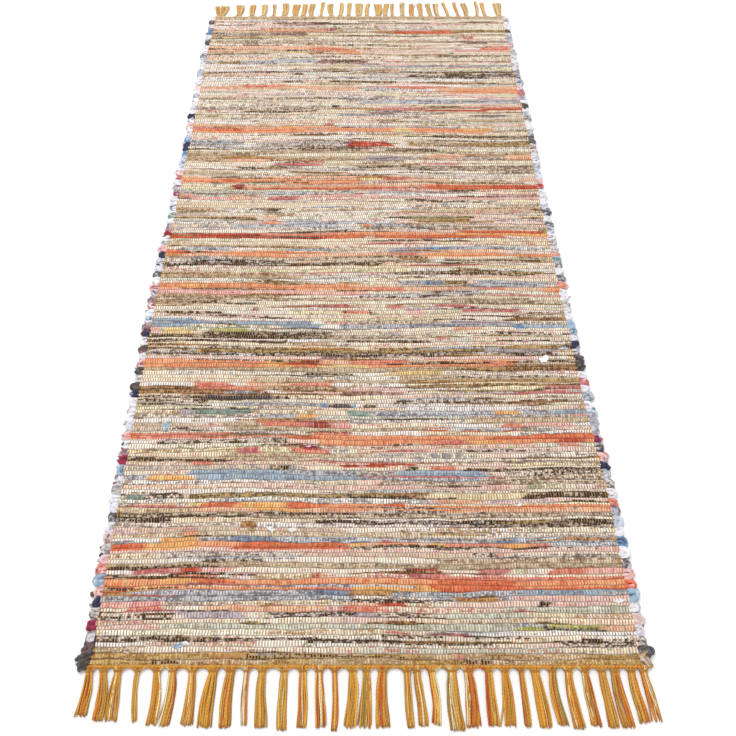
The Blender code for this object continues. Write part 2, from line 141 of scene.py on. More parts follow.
# The coloured rags. Each line gives the first row, counted from the near end, and the number of rows, then
# each rag with its two ends in millimetres from the middle. A later rag lies over an earlier one.
CHART = """
0 1: straw -350 350, khaki -350 -250, mauve -205 -190, tan -190 -150, khaki -110 -60, straw -60 20
0 1: khaki 60 140, taupe 140 180, khaki 230 350
0.3 0.6: umber -262 -232, umber 120 150
1 1: khaki -350 -60, ochre -182 -145, olive -142 -100, straw -60 350, khaki 10 60, rose 110 118, tan 150 200
1 1: khaki 270 350
2 1: straw -350 -285
3 1: speckle 255 330
3.4 0.9: charcoal -70 155
4 1: speckle -340 -230
4 0.5: charcoal -210 -60
4.4 0.6: speckle 20 190
4.8 0.8: mauve 75 112
6 1: blush -340 -250, mint -250 200, lime 200 232, peach 290 330
6 0.6: moss 232 285
6.6 0.5: lime 240 290
8 1: speckle -345 -240, lavender -222 -155, charcoal -112 -8, lavender -8 22, speckle 22 80, mint 90 200
9 1: coral -300 -262, peach -205 -60, coral -30 12, mint 180 340
9 0.3: umber -340 -180
10 1: pink -340 -260, peach -15 10, red 15 46, charcoal 224 236, blush 240 300
11 1: slate -350 -30, slate 90 190, ochre 120 165, blush 190 350
10.6 0.7: charcoal -32 92
12 1: ochre -350 -285, slate -285 350, denim -60 -20, ochre -15 30, sky 200 300
13 1: tangerine -350 -295, amber -290 -250, orange -250 -60, coral -60 -10, amber -10 100, tangerine 100 350
12.6 0.5: sky 200 350
14 1: orange -350 -255, amber -255 -208, tangerine -208 -158, orange -158 98, tangerine 98 190
13.5 1.5: orange 195 350
15 1: pink -350 -300, charcoal -252 -243, coral -243 -205, red -66 -58, rose 60 98
15 0.5: coral 100 350
16 1: white -350 -305, rose -300 -250, red -240 -213, charcoal -213 -208, pink -205 -165, ivory -160 48
16 1: charcoal 52 57, crimson 57 97, ivory 105 150, rose 150 182, coral 250 302, pink 302 350
17 1: straw -350 350
17.1 0.5: umber -330 -210
18 1: ivory -350 100, straw 100 350, white -245 -200, speckle -200 -150
18.5 0.5: taupe 100 350
19 1: grey -260 -100, speckle 145 172
19 0.5: grey 200 350
20 1: blush -350 350
20.5 0.5: speckle -150 300
20.5 1.5: tangerine -350 -290, amber -290 -222
21 1: orange -222 -160, peach -20 115
20.5 1.5: tangerine -160 -20
21 1: amber -20 0, orange 20 60, amber 90 115, coral 115 182, amber 190 222, coral 222 250, slate 250 350
22 1: amber -270 -222, slate -220 350, denim -175 -130, denim 170 205
23 1: orange -240 -222
25 1: ochre -165 -145
25 0.6: umber 150 300
26 1: charcoal -350 -262
25.4 1.1: charcoal -62 350
26.7 0.4: charcoal -262 -60
27 1: umber -350 -250, taupe -250 350
28 1: straw -350 -222, peach -220 350, amber -150 -100
28.4 1.2: orange -40 350
29 1: peach -310 -262, lemon -235 -215, tangerine -215 -170, amber -170 -110, tangerine -105 -40
29 1: orange -40 20, tangerine 20 55
30 1: peach 105 150
31 1: teal -330 -300, speckle -298 -250, olive -240 -8, khaki 0 45, brown 45 85, butter 100 222
31 1: umber 232 350
34 1: blush 0 30, taupe 30 350
35 1: slate -350 -292, amber -292 -250, sky -232 10, slate 10 170, taupe 180 350
36 1: sky -242 -110, slate -110 0, grey 0 50, sky 50 165, speckle 240 350
37 0.7: umber -130 -105
37.4 0.8: red -25 22
37 0.8: umber 65 76
37 1: coral 100 126
37 0.6: umber 150 350
38 1: coral -240 -215, red 15 66
39 1: straw -350 -100
39 0.4: umber -350 -200
38.6 0.6: taupe 0 350
39.5 0.5: brown 200 350
40 1: cream -350 -180, straw -180 0
40.5 1.3: rose -178 -148
41 0.8: coral -95 -50
41.6 1.3: crimson -90 -63
42 0.8: coral 288 312
43 1: speckle -290 -110, orange -62 110, coral 110 160, amber 160 198, orange 198 350, red 288 322
44.2 1.3: coral -350 -110, tangerine -350 -330
44 1: tangerine -110 -55, orange -55 195, tangerine 195 350
45 1: grey -190 -110, coral -65 -20
46 0.7: speckle -282 -240
46 1: straw -190 90
45.7 1: tangerine 95 122, coral 148 172
46 1: tangerine 205 236
46 0.8: olive 236 256
47 0.8: straw -195 -142
47 1: pink 252 302, coral 212 234
47 1.4: coral -142 -90, rose -90 -68, crimson -68 -46, pink -45 -20
48 1: straw 165 350
49 1: slate -142 -100, amber -92 -70, mint -50 150
49.5 0.5: slate 40 200
49 1: grey 200 300
50 1: lavender -270 -245, teal -242 -165, teal -18 12, slate 20 200, amber 200 240, slate 240 292
50 1: sky 292 350
51 0.8: taupe -150 -100
52 1: slate -190 -60, navy -45 -20
52 0.8: umber 5 22
52 1: tan 235 270
53 1: ivory -110 345
53 0.7: speckle -345 -240
52.8 0.6: speckle 50 212, speckle 240 330
54 0.6: umber -350 -110
53.6 1.1: navy -236 -134
55 1: brown -350 -150, white -142 -115, blush -115 60
55 0.5: mauve -25 60
56 1: brown -350 -250, coral -250 -150, tan -150 -20, blush 0 50, rose 285 350
57 1: coral -255 -208, peach -172 -100, coral -96 -45
57 0.6: olive 75 350
58 2: cream -350 -150
58 1: rose -165 -158
58 0.7: straw -150 70
57.8 1: khaki 75 350
59 1: straw 60 150
59 0.5: speckle 160 300
60 0.8: umber -86 -20
60 1: lemon 50 120
61 1: straw -350 150, olive 160 200, brown 205 350
62 1: orange -350 240, amber -155 -120, lemon -62 0, brown 245 350
63 1: orange -350 -190, coral -190 -150, amber -150 -110
62.4 1.6: red -108 -65
63 1: peach -60 -15, coral -15 66, peach 100 190
62.6 1: coral 190 215
63 1: orange 215 242
64 1: blush -350 -60, mauve -60 -18, blush 100 280
65.3 0.6: charcoal -345 300
65 0.3: umber 100 340
66 1: grey -350 -280, olive -270 200
66.5 0.5: khaki -100 150
66 1: lavender 200 305
67 1: cream -350 345
67 0.6: olive -350 -60, ochre -100 -20, olive 30 250
66.5 1.3: navy 308 335
67 1: khaki 250 308
68 1: tan -105 -55
69 0.5: umber -350 -160
68.6 1: umber -160 -122
69 0.4: umber -20 102
69.8 1.2: umber -350 -50
70 1: taupe -50 100
71 1: blush -350 -320, lemon -315 -270, umber -245 -50
72 1: pink -350 -322, lemon -312 -280
72 0.8: lime -232 -190
72 1: peach 155 200
73 1: sky -350 -282, sky -122 -70, slate -30 0, slate 10 240
72.5 1.4: denim 250 268
73 1: sky 268 350
74 1: sky -350 -80, denim -302 -264, white -76 -62, taupe 0 130
73.6 0.8: lavender 150 240
74.8 0.6: sky -350 -270
75 0.8: brown 255 350
76.2 1.4: brown -312 -282
75.8 1.6: taupe 252 345
77 0.6: umber -350 -230
77.2 0.8: coral -28 12
77 1: pink 75 100
77.2 1: rose 168 260
77.3 0.7: crimson -29 -25, charcoal 13 18
78 1: magenta -175 -170
78.4 1.2: rose 124 172
78.6 1.2: coral 45 66
79 0.8: tan -322 -290
79 1: rose -120 -95, rose -82 -30
79.5 0.5: tan 60 350
80 1: tan -350 -230, taupe 160 345
81 1: taupe -350 -82, beige 120 345
81 0.5: straw -82 280
81.4 0.8: umber -160 -80
82 1: tan -350 -110, beige -110 0, slate 0 140, beige 140 345
83 1: pink -350 0
83 0.8: slate 120 192
84 1: pink -350 -250
84.3 1.9: orange -350 0
85 1: amber -300 -262
84.2 1.4: peach 0 320
84 1: coral 0 72, peach 80 200, coral 200 244
83.6 1.6: orange 310 350
85 1: taupe 80 200, slate 200 300
86 1: ochre -150 -120, slate 68 110, denim 110 142, olive 145 182, slate 200 332
87 1: mint -332 -268
88 1: straw -350 -100
88.5 1: tan -350 -140
89 1: umber 60 300
88.4 0.5: speckle 140 272
91.5 0.7: rose 90 192
92 1: charcoal -350 -130, umber -130 30
92.3 0.6: umber 150 245
93 1: charcoal -282 -130, taupe -60 120
93.2 0.5: umber 150 310
94 1: taupe -350 -60
94.2 0.8: umber 20 50
93.8 1: brown 68 112
94.4 1.6: orange 112 242
95 1: amber 128 152, ochre -335 -305, peach -300 -215, orange -215 -120, peach -120 60, coral 60 102
95 1: orange 242 350
95.6 1.4: tangerine -350 -305
96 0.6: orange -292 -60
96 0.8: sky 60 100
96 1: peach 150 240
97 1: slate -296 -230, slate -120 -50, lavender 58 110, denim 110 160, slate 165 290
98 0.6: tan -350 -75
98 1: grey 190 232
101 1.8: red -350 -172
101 1.2: red -172 -42, crimson -226 -190, crimson -56 -42, tangerine -42 260
102 0.8: coral -172 -40, orange -40 180
102 1: amber 180 350
102.6 1: tangerine 192 325
101 1: blush 262 345
103 1: khaki 328 346
104 1: taupe 0 85
104.3 0.8: charcoal 85 132
104 1: taupe 132 350
105 1: slate -215 -50, orange 5 30, slate 30 80
105.4 0.5: olive 85 350
106 1: orange -175 -150, slate -130 -5
106.2 0.8: olive 110 242
107 1: mint -332 -230, slate -130 -80, khaki 110 196
107.8 0.7: olive -345 -190
108 1: peach -172 -150
107.7 0.7: moss 55 200
110 1: straw 100 200
109.4 0.7: charcoal 268 282
110.4 0.8: umber 322 346
111 1: tan -345 -270
111 0.8: umber -190 -150
111 0.5: straw -110 60
111.3 0.4: tan 100 345
112 2: cream -350 0
112.2 0.8: taupe 258 345
114 0.6: speckle 90 250
113.4 0.5: umber 20 90
115 1: blush 0 345
115 0.8: mauve -345 -310
115 1: pink -310 -250
115 2: peach -235 -208
115 1.6: rose -156 -114
115.4 1.4: pink 20 36
115 1: pink 150 172, pink 190 250
116 1: coral -345 -310, pink -95 0, pink 268 322
116.6 1.2: grey -345 -160
117 1: slate -160 -90, grey -90 0, slate 20 110, grey 112 205
116 0.8: mauve 240 330
118 0.8: umber 180 222
119 1.6: peach -215 132
118.7 0.8: tangerine -200 132
118.5 2: tangerine 132 350
119 1: red 250 350
119 1.4: crimson -238 -216
121.2 1.6: orange -345 -150
121 1: orange -150 2
122 1: orange -150 2, tangerine -255 -228, lemon 5 42
122 1.2: coral 48 96
122 1: peach 100 172
121 0.4: tan 55 305
122 1: peach 310 350
123 0.6: peach -345 -10
123 1: ochre 0 42
124 1: straw -120 0, mint 130 182
125 1: straw -345 -240
125 0.6: brown -120 -38
125 1: taupe 250 345, ivory 0 120
126 1: taupe 20 345, grey -240 20
126 0.7: charcoal 100 142
126.7 0.9: charcoal -232 -205
127 1: slate -170 -120
127 0.7: umber 0 102
127 1: taupe 102 345
127.4 0.6: umber 150 340
128 1: beige -350 350, rose -150 -70, straw -70 60
128 0.7: brown 85 116
128.3 0.8: rose 124 192
129 1: beige -350 350, coral -140 -70, taupe 20 82
130 1: tan -350 -60, straw -60 150, tan 150 345, peach -242 -180, lavender 24 92
131 1: straw -350 350
131 1.2: ochre -252 -176
132 1: tan -350 -180, beige -180 200, tan 200 345
131 1: lavender 24 82, peach 145 202
131 1.5: peach 285 345, peach 140 200
133 1: straw -345 350
133.6 0.8: charcoal 122 138
134 1: taupe -200 0
134.6 0.6: umber -345 20
133.8 1.3: umber 55 140
135 1: grey -275 -120, umber -120 22
136 1: slate -345 -250, grey -190 -22
136 2: red -20 50
136 1.4: khaki 100 345, straw 120 200
137 1: slate -345 -240, grey -200 -25
136.8 2: crimson -22 -14
137 1.2: olive 300 345
138 0.6: slate -345 -250
138 0.5: blush -182 -60
139.8 0.5: umber 92 340
140.3 0.8: brown -126 -60
140 0.6: umber 268 345
142 1: orange -345 70
142 2: lemon 70 106
142 1: orange 110 255
142 0.8: taupe 280 332
143 1: coral -345 -300, orange -300 70, tangerine -290 -240, orange 110 176, coral 176 200, amber 212 262
144 1: coral -345 -310
144 0.8: ochre -290 -240
144 1: peach -240 -60, amber -160 -130
145 0.5: peach -345 -180
145 0.7: rose -70 -55
146 1: mint 100 332
147 0.8: tan 38 76
147 1: straw 200 332
148 0.8: taupe 94 132
149 0.8: tan -312 -290
149.4 0.6: umber -345 0
149.4 0.7: charcoal 0 62
149.2 0.8: navy 225 302
150 1: mauve 20 62
150.4 0.5: umber 60 345
151.1 0.5: umber -232 -100
151 1: lavender 35 92
151.2 1: red 138 262
152 1: taupe -345 -60
152.3 1.5: navy -54 -42
152 1: ochre -40 36
152 0.8: rose 44 132
152 1: red 262 335
152.8 0.6: grey -345 -60
153 0.6: pink 50 172, coral 150 332
155 1: slate 20 345
156 1: grey -25 70, slate 70 345
156 0.6: grey 200 345
157 1: taupe -345 -28, grey -28 70
159.7 0.5: peach 200 345
160 1.8: orange 200 350
160.5 0.5: ochre 158 245
161 1: peach -100 0, peach 168 200
162 1.2: peach -345 -82
162.8 1: coral -232 -168
162 1.2: coral 20 172
162 1: peach 172 345
164 1: taupe 170 345
164 0.8: straw -100 0, blush 80 150
164.6 1.2: umber -158 -122
165 0.6: umber -60 82
164.4 0.6: umber 150 345
166.6 0.7: umber -78 -48
166.4 0.8: umber -24 2
167 1: mint 112 152
167.2 1.2: charcoal 150 200
166.9 2: charcoal 190 272
168 0.8: umber 112 146
167.6 1.9: charcoal 268 348
168.8 0.8: charcoal -138 -120
169 1: tan 0 82, umber 195 245
166.5 0.6: umber -290 -80
169.6 1: umber -345 -270, charcoal -270 -190
170 1: grey -160 -100
169.8 0.8: umber -190 -30, umber 90 350
170 1.2: tan 20 82
171.2 0.9: charcoal -97 -88
171 1: tan -88 -30
172.8 1: slate 10 345
174 1: mauve 10 52, blush 52 120
175 1.3: slate -345 -300
175 1: olive -300 -255
174.8 1.3: slate -255 -98
174.2 2.6: mauve -76 14
174.8 1.4: umber -52 -12
175.6 0.8: umber 50 58
175.2 0.6: mauve 60 345
176 1: slate -182 -96
178 0.7: umber 174 196
178.2 0.7: charcoal 217 224
178.2 0.9: umber 190 345
179.2 0.7: umber -345 -200, ochre -100 0
179.6 0.5: umber 0 60
179 1: straw 0 205
179 0.6: tan 125 200
180 1: straw -345 -160, lemon -160 -110, orange -40 0
180 0.8: charcoal 202 210
181 1: peach -345 -160
181 0.8: amber -160 -110
181 1: orange -110 0, blush 0 180, pink 215 345
182 1: peach -345 0, coral -110 -40
182.2 0.6: tan 0 205
181.6 1.8: coral 285 348
183 0.5: peach -345 -60
185 1: beige -350 350
185 0.7: taupe -302 -60
184.4 0.5: umber -90 60
185.1 0.7: umber 248 292
185.6 1: grey -302 60
186 0.5: umber -20 60, mauve 180 345
186 1: straw -350 200
188 1: straw -350 -100
187.6 0.6: olive -345 -220
188.6 0.5: umber -292 -245
188 1.2: rose 238 260
188 1: grey 210 232
188.9 0.4: tan 50 345
189.4 0.8: charcoal 59 65
189 1: straw -350 345, tan -345 -230
190 2: taupe -332 -200, grey -320 -240
190 1: beige -120 40, mauve -200 -120, ochre -345 -332
191 1: straw -350 345
190.6 1.8: ochre 48 92
190.4 2: red 92 120, tangerine 120 222
189.6 0.5: umber 20 345
190.8 1.6: khaki 222 345
191 0.7: olive 222 345
191.6 1: coral -110 -66
191 1: tan -200 0
193 1: straw -200 50
192.2 0.6: ochre -345 -205
191.8 1.2: orange -205 -60
192.2 1.8: crimson -74 -50
192 0.8: olive -45 -35
192.2 0.8: coral 93 130
195.3 0.5: mauve -170 -80
195.3 0.6: umber -345 -250
196 1: umber -190 20, mauve -142 -108
196.2 0.6: charcoal -70 -44, umber 45 155, tan 200 345, umber 240 300
198 2: beige -350 350
199 1: straw -350 350
"""
# Thin dark or dyed rags that show between two rows for a hand's breadth, and how many there are in ten rows
SLIVERS = ("umber", "umber", "charcoal", "speckle", "brown", "olive", "taupe", "rose", "slate")
SLIVERS_IN_TEN_ROWS = 14
SLIVER_REACH, SLIVER_HALF = 330, (10, 110)  # mm from the rug's middle to a sliver's, and half its length
GROUND_REACH, GROUND_LONG = 360, (50, 300)  # mm that pale rags fill to each side, and the length of each
GROUND_TORN, CHART_TORN = 30, 26  # mm that the torn ends of a pale or a charted rag may slant
GROUND_INKED = (0.05, 0.45)  # the share of a pale rag that shows its print
BEIGE_FAR = 3.0  # how much more often beige comes at the far end than at the near one
RAG_LEVELS = (0.93, 1.08)  # how dark or light a rag is beside its dye
# How much of a print's pattern comes from whole cells, from fine grain, from patches and from long streaks,
# the ends that a patch and a streak span, and how softly the print ends
PRINT_GRAIN = (0.16, 0.46, 0.08, 0.30)
PATCH_SPAN, STREAK_SPAN, PRINT_BLUR = 5, 14, 0.10
# How much a rag's tone changes slowly along it, from cell to cell and in the grain, and the first one's span
SLOW_TONE, CELL_TONE, GRAIN_TONE, TONE_SPAN = 0.09, 0.15, 0.16, 70


def end_fade(y):
    """0 at the cloth's two ends, 1 further in."""
    return np.clip((CLOTH_LENGTH / 2 - np.abs(y)) / END_FADE, 0, 1)


def wander(x, y):
    """How far the rags at a place have wandered along the rug."""
    slow = np.sin(math.tau * (x / WANDER_WAVE + SLOW_SLANT * y))
    fast = FAST_SHARE * np.sin(math.tau * (FAST_WAVES * x / WANDER_WAVE - FAST_SLANT * y) + FAST_START)
    return WANDER * (slow + fast) * end_fade(y)


def smooth(share):
    """From 0 to 1, slow at both ends."""
    return share * share * (3 - 2 * share)


def edge_drift(side, y):
    """How far a selvedge lies outside a straight line at y."""
    drifts = np.array(RIGHT_DRIFT if side > 0 else LEFT_DRIFT) * MM
    place = (y + CLOTH_LENGTH / 2) / EDGE_STEP
    before = np.clip(place.astype(int), 0, len(drifts) - 2)
    share = smooth(place - before)
    return drifts[before] * (1 - share) + drifts[before + 1] * share


def charted_runs():
    """Every rag of the chart, in its order."""
    for line in CHART.strip().splitlines():
        rows, rags = line.split(":")
        for rag in rags.split(","):
            name, left, right = rag.split()
            yield Run(*map(float, (*rows.split(), left, right)), name)


def uneven(draw, rows, columns, stretch):
    """Smooth random numbers from -1 to 1 along each row, with a swing about every so many columns."""
    knots = draw.uniform(-1, 1, (rows, columns // stretch + 3))
    place = np.arange(columns) / stretch
    left = place.astype(int)
    share = smooth(place - left)
    return knots[:, left] * (1 - share) + knots[:, left + 1] * share


def linear(colour):
    """A colour from 0 to 255 as a shader takes it."""
    share = np.asarray(colour, float) / 255
    return np.where(share < 0.04045, share / 12.92, ((share + 0.055) / 1.055) ** 2.4)


def laid_points():
    """(x, y, z, end number) of the cloth's upper side, line by line and column by column."""
    draw = np.random.default_rng(11)
    border = np.array([BORDER, NEXT_OUT * BORDER]) / WARP_PITCH
    number = np.concatenate([-border, np.arange(WARPS), WARPS - 1 + border[::-1]])
    columns = len(number)
    line = np.arange(PICKS * STEPS + 1)
    row = np.minimum(line // STEPS, PICKS - 1)
    share = np.array([TOP_LINES[i % STEPS].share for i in line])
    share[-1] = 1.0
    swings = sum(part * uneven(draw, PICKS + 1, columns, span) for part, span in ROW_SWINGS)
    stray = np.clip(ROW_UNEVEN * swings, -MOST_UNEVEN, MOST_UNEVEN) * MM
    stray[0] = stray[-1] = 0

    def between_rows(values):
        return values[row] * (1 - share)[:, None] + values[row + 1] * share[:, None]

    x = (number / (WARPS - 1) - 0.5) * WARP_WIDTH
    across = np.clip(2 * x / WARP_WIDTH, -1, 1)
    y = (-CLOTH_LENGTH / 2 + (row + share) * PICK_PITCH)[:, None]
    drift = np.where(across < 0, -edge_drift(-1, y), edge_drift(1, y)) * np.abs(across)
    fade = end_fade(np.linspace(-0.5, 0.5, PICKS + 1) * CLOTH_LENGTH)[:, None]
    sway = END_SWAY * MM * uneven(draw, PICKS + 1, columns, SWAY_SPAN) * fade
    laid_x = x + drift + between_rows(sway)
    laid_y = y + wander(x, y) + between_rows(stray)

    fat = uneven(draw, PICKS, columns, FAT_SPAN) + 0.5 * draw.uniform(-1, 1, (PICKS, columns))
    room = np.clip(1 + np.diff(stray, axis=0) / PICK_PITCH, *SQUEEZE)
    valley = TOP_LINES[0].height
    swell = np.array([TOP_LINES[i % STEPS].height - valley for i in line])[:, None]
    groove = np.array([TOP_LINES[i % STEPS].groove for i in line])[:, None]
    under_end = (np.round(number)[None, :] + row[:, None]) % 2 == 0
    height = (valley + swell * room[row]) * MM
    height += FAT_RAGS * MM * fat[row] * np.sin(math.pi * share)[:, None]
    height -= np.where(under_end, END_SINKS * MM, 0) * groove
    height[-1] = valley * MM
    height[:, [0, -1]] = EDGE_HEIGHT * MM
    height[:, [1, -2]] *= NEXT_HEIGHT
    return laid_x, laid_y, height, number


def laid_rags(draw, columns):
    """Dye, ink, its share and the level of the rags, for each column of each band between two lines."""
    bands = PICKS * STEPS
    across = (np.arange(columns) - 2) * WARP_PITCH / MM - WARP_WIDTH / 2 / MM
    shares = [line.share for line in TOP_LINES] + [1.0]
    middles = np.array([(a + b) / 2 for a, b in zip(shares, shares[1:])])
    place = (np.arange(PICKS)[:, None] + middles).ravel()
    dye, ink = np.zeros((bands, columns, 3)), np.zeros((bands, columns, 3))
    inked, strength = np.zeros((bands, columns)), np.ones((bands, columns))
    dyes = {name: linear(rag.dye) for name, rag in RAGS.items()}
    inks = {name: linear(rag.ink) for name, rag in RAGS.items()}
    prints = [linear(colour) for colour in PRINTS]

    def lay(rag, first, last, left, right, torn, print_ink=None, print_share=None):
        """One stretch of rag, from band to band. Its torn ends run out slanting over the next rags."""
        level = draw.uniform(*RAG_LEVELS)
        slants = draw.uniform(-1, 1, 2) * min(torn, 0.5 * (right - left))
        for band in range(first, last):
            over_left, over_right = abs(slants) / 2 + slants * ((band - first + 0.5) / (last - first) - 0.5)
            edges = left - over_left + draw.uniform(-1, 1), right + over_right + draw.uniform(-1, 1)
            inside = slice(*np.searchsorted(across, edges))
            dye[band, inside] = dyes[rag]
            ink[band, inside] = inks[rag] if print_ink is None else print_ink
            inked[band, inside] = RAGS[rag].inked if print_share is None else print_share
            strength[band, inside] = level

    names, often = list(GROUND), np.array(list(GROUND.values()))
    for row in range(PICKS):
        x = -GROUND_REACH
        weights = often * np.where(np.array(names) == "beige", 1 + (BEIGE_FAR - 1) * (row / PICKS) ** 2, 1)
        while x < GROUND_REACH:
            length = draw.uniform(*GROUND_LONG)
            rag = draw.choice(names, p=weights / weights.sum())
            lay(rag, row * STEPS, (row + 1) * STEPS, x, x + length, GROUND_TORN,
                prints[draw.integers(len(prints))], draw.uniform(*GROUND_INKED))
            x += length
    for run in charted_runs():
        chosen = np.nonzero((place >= run.row) & (place < run.row + run.rows))[0]
        lay(run.rag, chosen[0], chosen[-1] + 1, run.left, run.right, CHART_TORN)
    for _ in range(PICKS // 10 * SLIVERS_IN_TEN_ROWS):
        rag, band = draw.choice(SLIVERS), draw.integers(STEPS, bands - STEPS)
        middle, half = draw.uniform(-SLIVER_REACH, SLIVER_REACH), draw.uniform(*SLIVER_HALF)
        lay(rag, band, band + 1, middle - half, middle + half, 0)
        lay(rag, band + 1, band + 2, middle - 0.6 * half, middle + 0.3 * half, 0)
    return dye, ink, inked, strength


def chart_dyes(columns):
    """The colour of the rags with their prints and their uneven tone, for each column of each band."""
    draw = np.random.default_rng(5)
    dye, ink, inked, strength = laid_rags(draw, columns)
    bands = len(dye)
    for shift in (1, 2):  # each dye runs a little into the next
        dye = 0.5 * dye + 0.25 * (np.roll(dye, shift, axis=1) + np.roll(dye, -shift, axis=1))
    row = np.arange(bands) // STEPS
    cell = (np.arange(columns) + row[:, None]) // 2
    speck = draw.uniform(0, 1, (PICKS, columns))[row[:, None], cell]
    fine = draw.uniform(0, 1, (bands, columns))
    fine = 0.7 * fine + 0.3 * np.roll(fine, 1, axis=1)
    patch = 0.5 + 0.5 * uneven(draw, PICKS, columns, PATCH_SPAN)[row]
    streak = 0.5 + 0.5 * uneven(draw, bands, columns, STREAK_SPAN)
    spread = sum(part * grain for part, grain in zip(PRINT_GRAIN, (speck, fine, patch, streak)))
    order = spread.argsort(axis=None).argsort().reshape(spread.shape) / spread.size
    shown = np.clip((inked - order) / PRINT_BLUR + 0.5, 0, 1)[..., None]
    colour = dye * (1 - shown) + ink * shown
    strength += SLOW_TONE * uneven(draw, PICKS, columns, TONE_SPAN)[row]
    cell_tone = draw.uniform(-1, 1, (PICKS, columns))[row[:, None], cell]
    strength += CELL_TONE * cell_tone + GRAIN_TONE * draw.uniform(-1, 1, (bands, columns))
    return np.clip(colour * strength[..., None], 0, 1)


def grid_faces(lines, columns, first=0):
    """Quads between the points of a grid, whose first point has the given number."""
    corner = first + np.arange(lines - 1)[:, None] * columns + np.arange(columns - 1)
    corner = corner.ravel()
    return np.stack([corner, corner + 1, corner + columns + 1, corner + columns], axis=1)


def skirt(upper, lower):
    """Triangles down from an edge to a plainer one under it."""
    ratio = (len(upper) - 1) // (len(lower) - 1)
    made = []
    for i in range(len(lower) - 1):
        fan, turn = upper[i * ratio:(i + 1) * ratio + 1], (ratio + 1) // 2
        made += [(lower[i], fan[k + 1], fan[k]) for k in range(turn)]
        made.append((lower[i], lower[i + 1], fan[turn]))
        made += [(lower[i + 1], fan[k + 1], fan[k]) for k in range(turn, ratio)]
    return np.array(made)


def mesh_of(name, points, quads, triangles):
    """A smooth mesh, and the number of the point at each of its corners."""
    mesh = bpy.data.meshes.new(name)
    corners = np.concatenate([quads.ravel(), triangles.ravel()])
    starts = np.concatenate([np.arange(len(quads)) * 4, quads.size + np.arange(len(triangles)) * 3])
    mesh.vertices.add(len(points))
    mesh.vertices.foreach_set("co", points.astype(np.float32).ravel())
    mesh.loops.add(len(corners))
    mesh.loops.foreach_set("vertex_index", corners.astype(np.int32))
    mesh.polygons.add(len(starts))
    mesh.polygons.foreach_set("loop_start", starts.astype(np.int32))
    mesh.update(calc_edges=True)
    mesh.validate()
    mesh.shade_smooth()
    return mesh, corners


def colour_corners(mesh, colours):
    """Keeps a dye at every corner of a mesh, for its material."""
    attribute = mesh.attributes.new("dye", "FLOAT_COLOR", "CORNER")
    full = np.concatenate([colours, np.ones((len(colours), 1))], axis=1)
    attribute.data.foreach_set("color", full.astype(np.float32).ravel())


def mark_points(mesh, name, values):
    """Keeps three numbers at every point of a mesh, for its material."""
    attribute = mesh.attributes.new(name, "FLOAT_VECTOR", "POINT")
    attribute.data.foreach_set("vector", values.astype(np.float32).ravel())


def add_piece(name, mesh, material):
    """Puts a mesh in the scene as a piece that rides on the rug's one body."""
    mesh.materials.append(material)
    piece = bpy.data.objects.new(name, mesh)
    bpy.context.scene.collection.objects.link(piece)
    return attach(piece, "root")


def new_group(name, inputs, outputs):
    """An empty node group. Each socket starts from "COLOR", "VECTOR" or a number."""
    group = bpy.data.node_groups.new(name, "ShaderNodeTree")
    for sockets, in_out in ((inputs, "INPUT"), (outputs, "OUTPUT")):
        for label, start in sockets.items():
            kind = {"COLOR": "NodeSocketColor", "VECTOR": "NodeSocketVector"}.get(start, "NodeSocketFloat")
            socket = group.interface.new_socket(label, in_out=in_out, socket_type=kind)
            if kind == "NodeSocketFloat":
                socket.default_value = start
    return group, group.nodes.new("NodeGroupInput").outputs, group.nodes.new("NodeGroupOutput").inputs


class Maker:
    """Adds nodes to one tree. A value is a number, a colour or another node's output."""

    def __init__(self, tree):
        self.tree = tree

    def node(self, kind, settings=None, **inputs):
        """A new node. An input's name is its socket's, with an underscore for each space."""
        made = self.tree.nodes.new("ShaderNode" + kind)
        for key, value in (settings or {}).items():
            setattr(made, key, value)
        for key, value in inputs.items():
            self.put(made.inputs[key.replace("_", " ")], value)
        return made

    def put(self, socket, value):
        """Links an output to a socket, or sets it."""
        if isinstance(value, bpy.types.NodeSocket):
            self.tree.links.new(value, socket)
        elif isinstance(value, (tuple, list)) and socket.type == "RGBA":
            socket.default_value = (*value, 1.0)[:4]
        else:
            socket.default_value = value

    def math(self, operation, *values):
        """One sum, or other step of arithmetic."""
        made = self.node("Math", {"operation": operation})
        for socket, value in zip(made.inputs, values):
            self.put(socket, value)
        return made.outputs[0]

    def times(self, first, *others):
        """The product of some values."""
        for other in others:
            first = self.math("MULTIPLY", first, other)
        return first

    def mix(self, share, first, second, blend="MIX"):
        """The first colour, with a share of the second."""
        made = self.node("Mix", {"data_type": "RGBA", "blend_type": blend})
        for socket, value in zip((made.inputs[0], made.inputs[6], made.inputs[7]), (share, first, second)):
            self.put(socket, value)
        return made.outputs[2]

    def ramp(self, value, low, high, start=0.0, end=1.0):
        """A smooth step from start to end, while the value goes from low to high."""
        made = self.node("MapRange", {"interpolation_type": "SMOOTHSTEP"})
        for socket, given in zip(made.inputs, (value, low, high, start, end)):
            self.put(socket, given)
        return made.outputs[0]


def paint(r, g, b):
    """A colour from 0 to 255 for a node's socket."""
    return tuple(float(x) for x in linear((r, g, b)))


def cotton(name, sheen):
    """A dull cotton material: itself, the maker of its nodes, its shader, and each point's dye and place."""
    material = bpy.data.materials.new(name)
    material.use_nodes = True
    shader = material.node_tree.nodes["Principled BSDF"]
    shader.inputs["Sheen Weight"].default_value = sheen
    shader.inputs["Specular IOR Level"].default_value = 0.25
    maker = Maker(material.node_tree)
    dye = maker.node("Attribute", {"attribute_name": "dye"}).outputs["Color"]
    return material, maker, shader.inputs, dye, maker.node("TexCoord").outputs["Object"]


